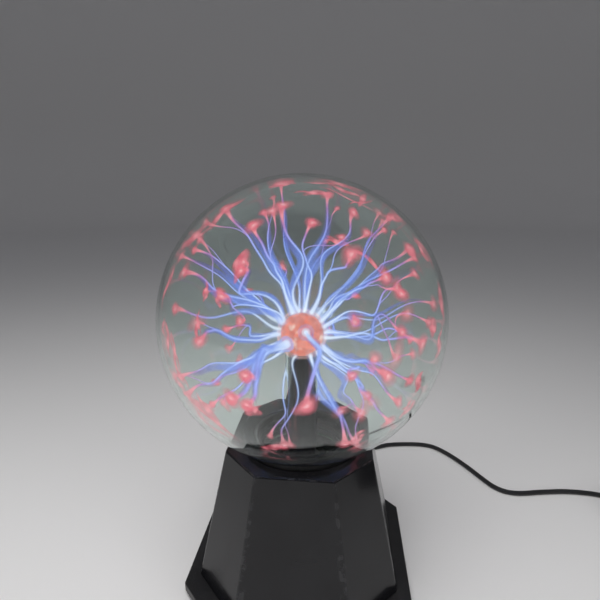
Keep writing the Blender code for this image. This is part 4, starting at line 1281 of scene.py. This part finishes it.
    def branches(
        self, trunks: Array, ends: Array, parents: Array, rng: np.random.Generator
    ) -> tuple[Array, Array, Array]:
        """Forks that leave their trunk along its own direction and end beside it on the glass.

        Args:
            trunks: the trunks' paths.
            ends: the trunks' ends as directions.
            parents: which trunk each fork leaves.
            rng: where the forks' places come from.

        Returns:
            The forks' paths, their ends as directions, and where each one left its trunk, from 0 to 1.
        """
        count = len(parents)
        row = rng.integers(*(round(share * self.steps) for share in self.fork_rows), count)
        base = trunks[parents, row]
        leave = unit(trunks[parents, row + 1] - trunks[parents, row - 1])
        aside = unit(rng.normal(0, 1, (count, 3)))
        new = unit(ends[parents] + self.fork_spread * (1 - row / self.steps)[:, None] * aside)
        sway = rng.uniform(0.04, 0.08, count)
        paths = self.arches(base, leave, self.tips(new), new, sway, np.arange(count), rng)
        return paths, new, row / (self.steps - 1)

    def strands(self, paths: Array, along: Array, vigour: Array, size: Array) -> None:
        """The bright threads and, round each, two closed sleeves of fainter gas.

        A thread's radius is size (0.8 + 1.3 e^(-10 along)), so that it swells at the electrode, and near the
        glass a flare that grows as e^(-left / flare_reach), with left the length still to run, is added.

        Args:
            paths: (count, steps, 3).
            along: how far each point is from the electrode, from 0 to 1.
            vigour: how bright each strand is.
            size: each strand's radius.
        """
        run = np.cumsum(np.linalg.norm(np.diff(paths, axis=1, prepend=paths[:, :1]), axis=2), axis=1)
        left = run[:, -1:] - run
        flare = self.flare_size * np.exp(-left / self.flare_reach) * (size / size.max())[:, None] ** 0.5
        lean = size[:, None] * (0.8 + 1.3 * np.exp(-10 * along))
        ending = np.exp(-left / self.ending_reach)
        values = {"along": capped(along)[..., None], "vigour": vigour[:, None, None]}
        for name, swell, extra, body, finish in self.layers:
            thick = lean * swell + flare * extra
            values["body"] = capped(body * (1 - 0.45 * ending * (body > 0.5)))[..., None]
            grid_piece(name, tubes(paths, thick, thick, UPWARD, 9), finish, values=values)

    def veils(self, paths: Array, along: Array, vigour: Array, rng: np.random.Generator) -> None:
        """The wide soft bands that a moving strand leaves: closed flattened sleeves one within another.

        A band's half width is w (0.22 + 0.78 (sin pi s^0.8)^1.2), and it is widest before its middle.

        Args:
            paths: (count, steps, 3).
            along: how far each point is from the electrode, from 0 to 1.
            vigour: how bright each band is.
            rng: where the bands' widths and tilts come from.
        """
        count = len(paths)
        s = np.linspace(0, 1, self.steps)[None]
        for side in across(unit(paths[:, -1] - paths[:, 0]), UPWARD):
            amount = rng.normal(0, self.veil_drift, (count, 1, 1))
            paths = paths + amount * np.sin(math.pi * s)[..., None] * side[:, None]
        profile = 0.22 + 0.78 * np.sin(math.pi * s**0.8) ** 1.2
        wide = rng.uniform(*self.veil_size, (count, 1)) * profile
        like = unit(rng.normal(0, 1, (count, 1, 3)) * np.array([1.0, 0.5, 1.0]))
        shells = [tubes(paths, wide * share, wide * share * 0.5, like, 12) for share, _ in self.bands]
        values = {
            "along": np.tile(capped(along), (len(self.bands), 1))[..., None],
            "body": np.repeat([body for _, body in self.bands], count)[:, None, None],
            "vigour": np.tile(vigour, len(self.bands))[:, None, None],
        }
        grid_piece("strand_veils", np.concatenate(shells), VEIL_GLOW, values=values)

    def glows(self, ends: Array, vigour: Array, rng: np.random.Generator) -> None:
        """Soft patches on the inside of the glass: thin closed lenses that follow the sphere.

        A point at share u of the patch's radius and bearing a is moved u (cos a e1 stretch + sin a e2) from
        its middle, put back on the sphere, and set off it by 0.15 (1 - u^2) mm on either face.

        Args:
            ends: unit vectors to the patches' middles.
            vigour: how bright each patch is.
            rng: where the patches' sizes and outlines come from.
        """
        count = len(ends)
        u = np.concatenate([np.linspace(0, 1, 7), np.linspace(1, 0, 7)[1:]])[None, :, None]
        face = np.where(np.arange(13) < 7, 1.0, -1.0)[None, :, None] * (1 - u * u)
        a = bearings(18)
        radius = rng.uniform(*self.patch_size, (count, 1, 1))
        stretch = rng.uniform(1.0, 1.7, (count, 1, 1))
        ragged = 1.0
        for lobes, depth in ((2, 0.20), (3, 0.12)):
            ragged = ragged + depth * np.sin(lobes * a + rng.uniform(0, 6, (count, 1, 1)))
        e1, e2 = across(ends, unit(rng.normal(0, 1, (count, 3))))
        off = radius * u * ragged
        place = (
            ends[:, None, None] * self.inside
            + (off * np.cos(a) * stretch)[..., None] * e1[:, None, None]
            + (off * np.sin(a))[..., None] * e2[:, None, None]
        )
        place = unit(place) * (self.inside - 0.00045 - 0.00015 * face)[..., None] + on_axis(self.globe_z)
        values = {"along": 1 - u, "body": (1 - u) ** 1.1 * 0.9, "vigour": vigour[:, None, None]}
        grid_piece("glass_glows", place, SPOT_GLOW, values=values)

    def streaks(self, rng: np.random.Generator) -> None:
        """Wisps that run along the inside of the glass: flat closed ribbons, two to each streak."""
        rows = np.repeat(np.array(STREAKS, float), 2, axis=0)
        rows[1::2, :4] += rng.normal(0, 1, (len(STREAKS), 4)) * np.array([3.0, 3.0, 0.010, 0.010])
        rows[1::2, 4] *= 0.6
        clock_from, clock_to, reach_from, reach_to, half_width = rows.T[..., None]
        s = np.linspace(0, 1, self.steps)
        clock = clock_from + (clock_to - clock_from) * s
        wander = np.sin(2.5 * math.pi * s + rng.uniform(0, 6, half_width.shape))
        reach = reach_from + (reach_to - reach_from) * s + 0.008 * wander
        beyond = np.where(rng.uniform(size=half_width.shape) < 0.6, Side.NEAR.value, Side.FAR.value)
        way = self.sighted(clock, reach.clip(0, 0.993), beyond + 0.0 * clock)
        paths = way * (self.inside - 2 * self.film) + on_axis(self.globe_z)
        swell = np.sin(math.pi * s)[None] ** 0.6
        # Near the outline a ribbon is seen edge on, so it is laid wider there.
        wide = half_width * 0.001 * (0.25 + 0.75 * swell) / np.sqrt(1.10 - reach.clip(0, 1) ** 2)
        grid = tubes(paths, np.full_like(wide, self.ribbon), wide, way, 16)
        body = np.abs(np.cos(bearings(16))) ** 1.4
        patch = 0.65 + 0.35 * np.sin(5 * math.pi * s + rng.uniform(0, 6, half_width.shape))
        values = {
            "along": capped(0.30 + 0.50 * swell * patch)[..., None] * (0.6 + 0.4 * body),
            "body": body * capped(swell * (0.4 + 0.6 * patch))[..., None],
            "vigour": rng.uniform(0.75, 1.0, (len(rows), 1, 1)),
        }
        grid_piece("glass_streaks", grid, SPOT_GLOW, values=values)

    def blobs(self, name: str, centres: Array, radii: Array, body: Array, finish: Finish) -> None:
        """Closed glowing balls: each a centre plus radii times the unit sphere's points.

        Args:
            name: the piece's name.
            centres: (count, 3), or broadcast to it.
            radii: (count, 3), or broadcast to it.
            body: how solid each is, (count,).
            finish: their finish.
        """
        grid = centres[:, None, None] + ball_ways(17, 32) * radii[:, None, None]
        values = {
            "along": np.linspace(0.3, 1, len(grid))[:, None, None],
            "body": body[:, None, None],
            "vigour": np.ones((1, 1, 1)),
        }
        grid_piece(name, grid, finish, values=values)

    def corona(self, rng: np.random.Generator) -> None:
        """The bright gas round the electrode, and the blurred tuft of roots beyond its upper right."""
        frame = np.stack(self.sight()[:3])
        ahead, right, up = frame
        centre = on_axis(self.ball_z)
        radii = np.linspace(self.ball + 0.0008, self.ball + 0.0016, 4)[:, None]
        self.blobs("corona", centre[None], radii, np.full(4, 0.10), CORONA_GLOW)
        count = 14
        spread = rng.normal(0, 1, (count, 3)) * np.array([0.0042, 0.0024, 0.0030])
        middle = centre + 0.0135 * right + 0.0150 * up + 0.0060 * ahead
        centres = middle + spread @ frame[[1, 2, 0]]
        sizes = rng.uniform(0.0012, 0.0042, (count, 1)) * rng.uniform(0.7, 1.2, (count, 3))
        self.blobs("root_tuft", centres, sizes, rng.uniform(0.12, 0.30, count), TUFT_GLOW)

    def build(self) -> None:
        """Trunks, forks, veils, glows, streaks and the corona, from one seeded source of chance."""
        rng = np.random.default_rng(self.seed)
        rows = [(*end, side.value) for side, ends in ENDS.items() for end in ends]
        clock, reach, beyond = np.array(rows, float).T
        ends = self.sighted(clock, reach, beyond)
        count = len(ends)
        leave, bundle = self.roots(clock, reach, beyond)
        front = bundle >= len(ROOTS)
        starts = on_axis(self.ball_z) + leave * (self.ball + 0.0001)
        arrive = unit(ends + rng.normal(0, self.scatter, ends.shape))
        sway = rng.uniform(0.07, 0.10, count)
        trunks = self.arches(starts, leave, self.tips(ends), arrive, sway, bundle, rng)
        parents = rng.permutation(count)[: round(self.fork_share * count)]
        forks, fork_ends, left_at = self.branches(trunks, ends, parents, rng)
        s = np.linspace(0, 1, self.steps)[None]
        strength = rng.uniform(0.45, 1.0, count)
        along = np.concatenate([np.repeat(s, count, axis=0), left_at[:, None] + (1 - left_at[:, None]) * s])
        vigour = np.concatenate([np.where(front, 1.0, strength), strength[parents] * 0.7])
        thick = np.where(front, self.front_size, rng.uniform(*self.thread_size, count))
        size = np.concatenate([thick, rng.uniform(*self.fork_size, len(parents))])
        self.strands(np.concatenate([trunks, forks]), along, vigour, size)
        banded = rng.permutation(count)[: round(self.veil_share * count)]
        self.veils(trunks[banded], along[banded], rng.uniform(0.5, 1.0, len(banded)), rng)
        self.glows(np.concatenate([ends, fork_ends]), vigour, rng)
        self.streaks(rng)
        self.corona(rng)


# ---------------------------------------------------------------- base


WEAR = {"Half": 0.0533, "Reach": 0.05657, "Flare": 0.2096, "Top": 0.1112, "Width": 0.0013}


@dataclass(frozen=True)
class Casework:
    """The CAD nodes that show as they are: housing, tray, fasteners, plug, adapter and the insides."""

    housing: Moulded = Moulded(
        "gloss_black", (0.005, 0.005, 0.0062), 0.14, relief=0.000012, waviness=2.2, dust=0.25,
        smudge=0.5, scratch=0.35, coat=0.12, shine=0.30, wear=WEAR,
    )
    smooth_angle: float = 32.0
    smooth: tuple[str, ...] = (
        "stem_sleeve", "stem_boot", "neck_collar", "foot_1", "foot_2", "foot_3", "foot_4",
        "transformer_core", "transformer_winding", "filter_capacitor", "microphone",
    )

    def looks(self) -> dict[str, Finish]:
        """The finish for each of the record's slots."""
        finishes = (
            CLEAR_GLASS, EMBER, SLEEVE, RUBBER, GASKET, self.housing, SATIN_BLACK, ZINC, BOARD, FERRITE,
            TAPE, SINK, COMPONENT, CAPACITOR, BRIGHT, LEAD_RED, CORD,
        )
        return {finish.name: finish for finish in finishes}

    def build(self, frame: dict[str, Any]) -> None:
        """Dresses every CAD node in its slot's finish, and gives the round ones a smooth skin."""
        looks = self.looks()
        slots = {row["node"]: row["material_slot"] for row in frame["record"]["subparts"]}
        for name, node in frame["nodes"].items():
            node.data.materials.clear()
            node.data.materials.append(looks[slots[name]].material())
            if name in self.smooth:
                skin = closed(node.data.copy())
                skin.set_sharp_from_angle(angle=math.radians(self.smooth_angle))
                piece = piece_of(f"{name}_skin", skin, looks[slots[name]])
                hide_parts(name)


@dataclass(frozen=True)
class FoamRing:
    """The foam ring that the globe sits on, pressed into the ball's shape."""

    inner: float = 0.0373
    outer: float = 0.0460
    bottom: float = 0.1115
    soft: float = 0.0007
    sides: int = 160

    def build(self, glassware: Glassware) -> None:
        """A turned ring: a flat foot, sides that bulge by half a sine, and a top that follows the ball.

        Args:
            glassware: whose globe presses on it.
        """
        t = np.linspace(0, 1, 9)
        low, high = self.inner + self.soft, self.outer - self.soft
        bulge = self.soft * np.sin(math.pi * t)
        reach = glassware.globe_radius + HAIR
        top = glassware.globe_z - np.sqrt(reach**2 - np.array([low, high]) ** 2)
        over = high + (low - high) * t
        outline = np.concatenate([
            np.stack([low + (high - low) * t, np.full(9, self.bottom)], axis=1),
            np.stack([high + bulge, self.bottom + (top[1] - self.bottom) * t], axis=1)[1:-1],
            np.stack([over, glassware.globe_z - np.sqrt(reach**2 - over**2)], axis=1),
            np.stack([low - bulge, top[0] + (self.bottom - top[0]) * t], axis=1)[1:-1],
        ])
        ring = turned("foam_ring", outline, GASKET, self.sides, round_rows=True)
        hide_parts("globe_gasket")


# ---------------------------------------------------------------- main


def main() -> None:
    """Builds the studio and the lamp's sub-assemblies in order."""
    logging.basicConfig(level=logging.INFO, format="%(name)s %(message)s")
    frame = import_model()
    Studio().build()
    PowerLead().build()
    Casework().build(frame)
    glassware = Glassware()
    glassware.build()
    FoamRing().build(glassware)
    Electrode().build(glassware.ball_z)
    Discharge().build()


if __name__ == "__main__":
    main()
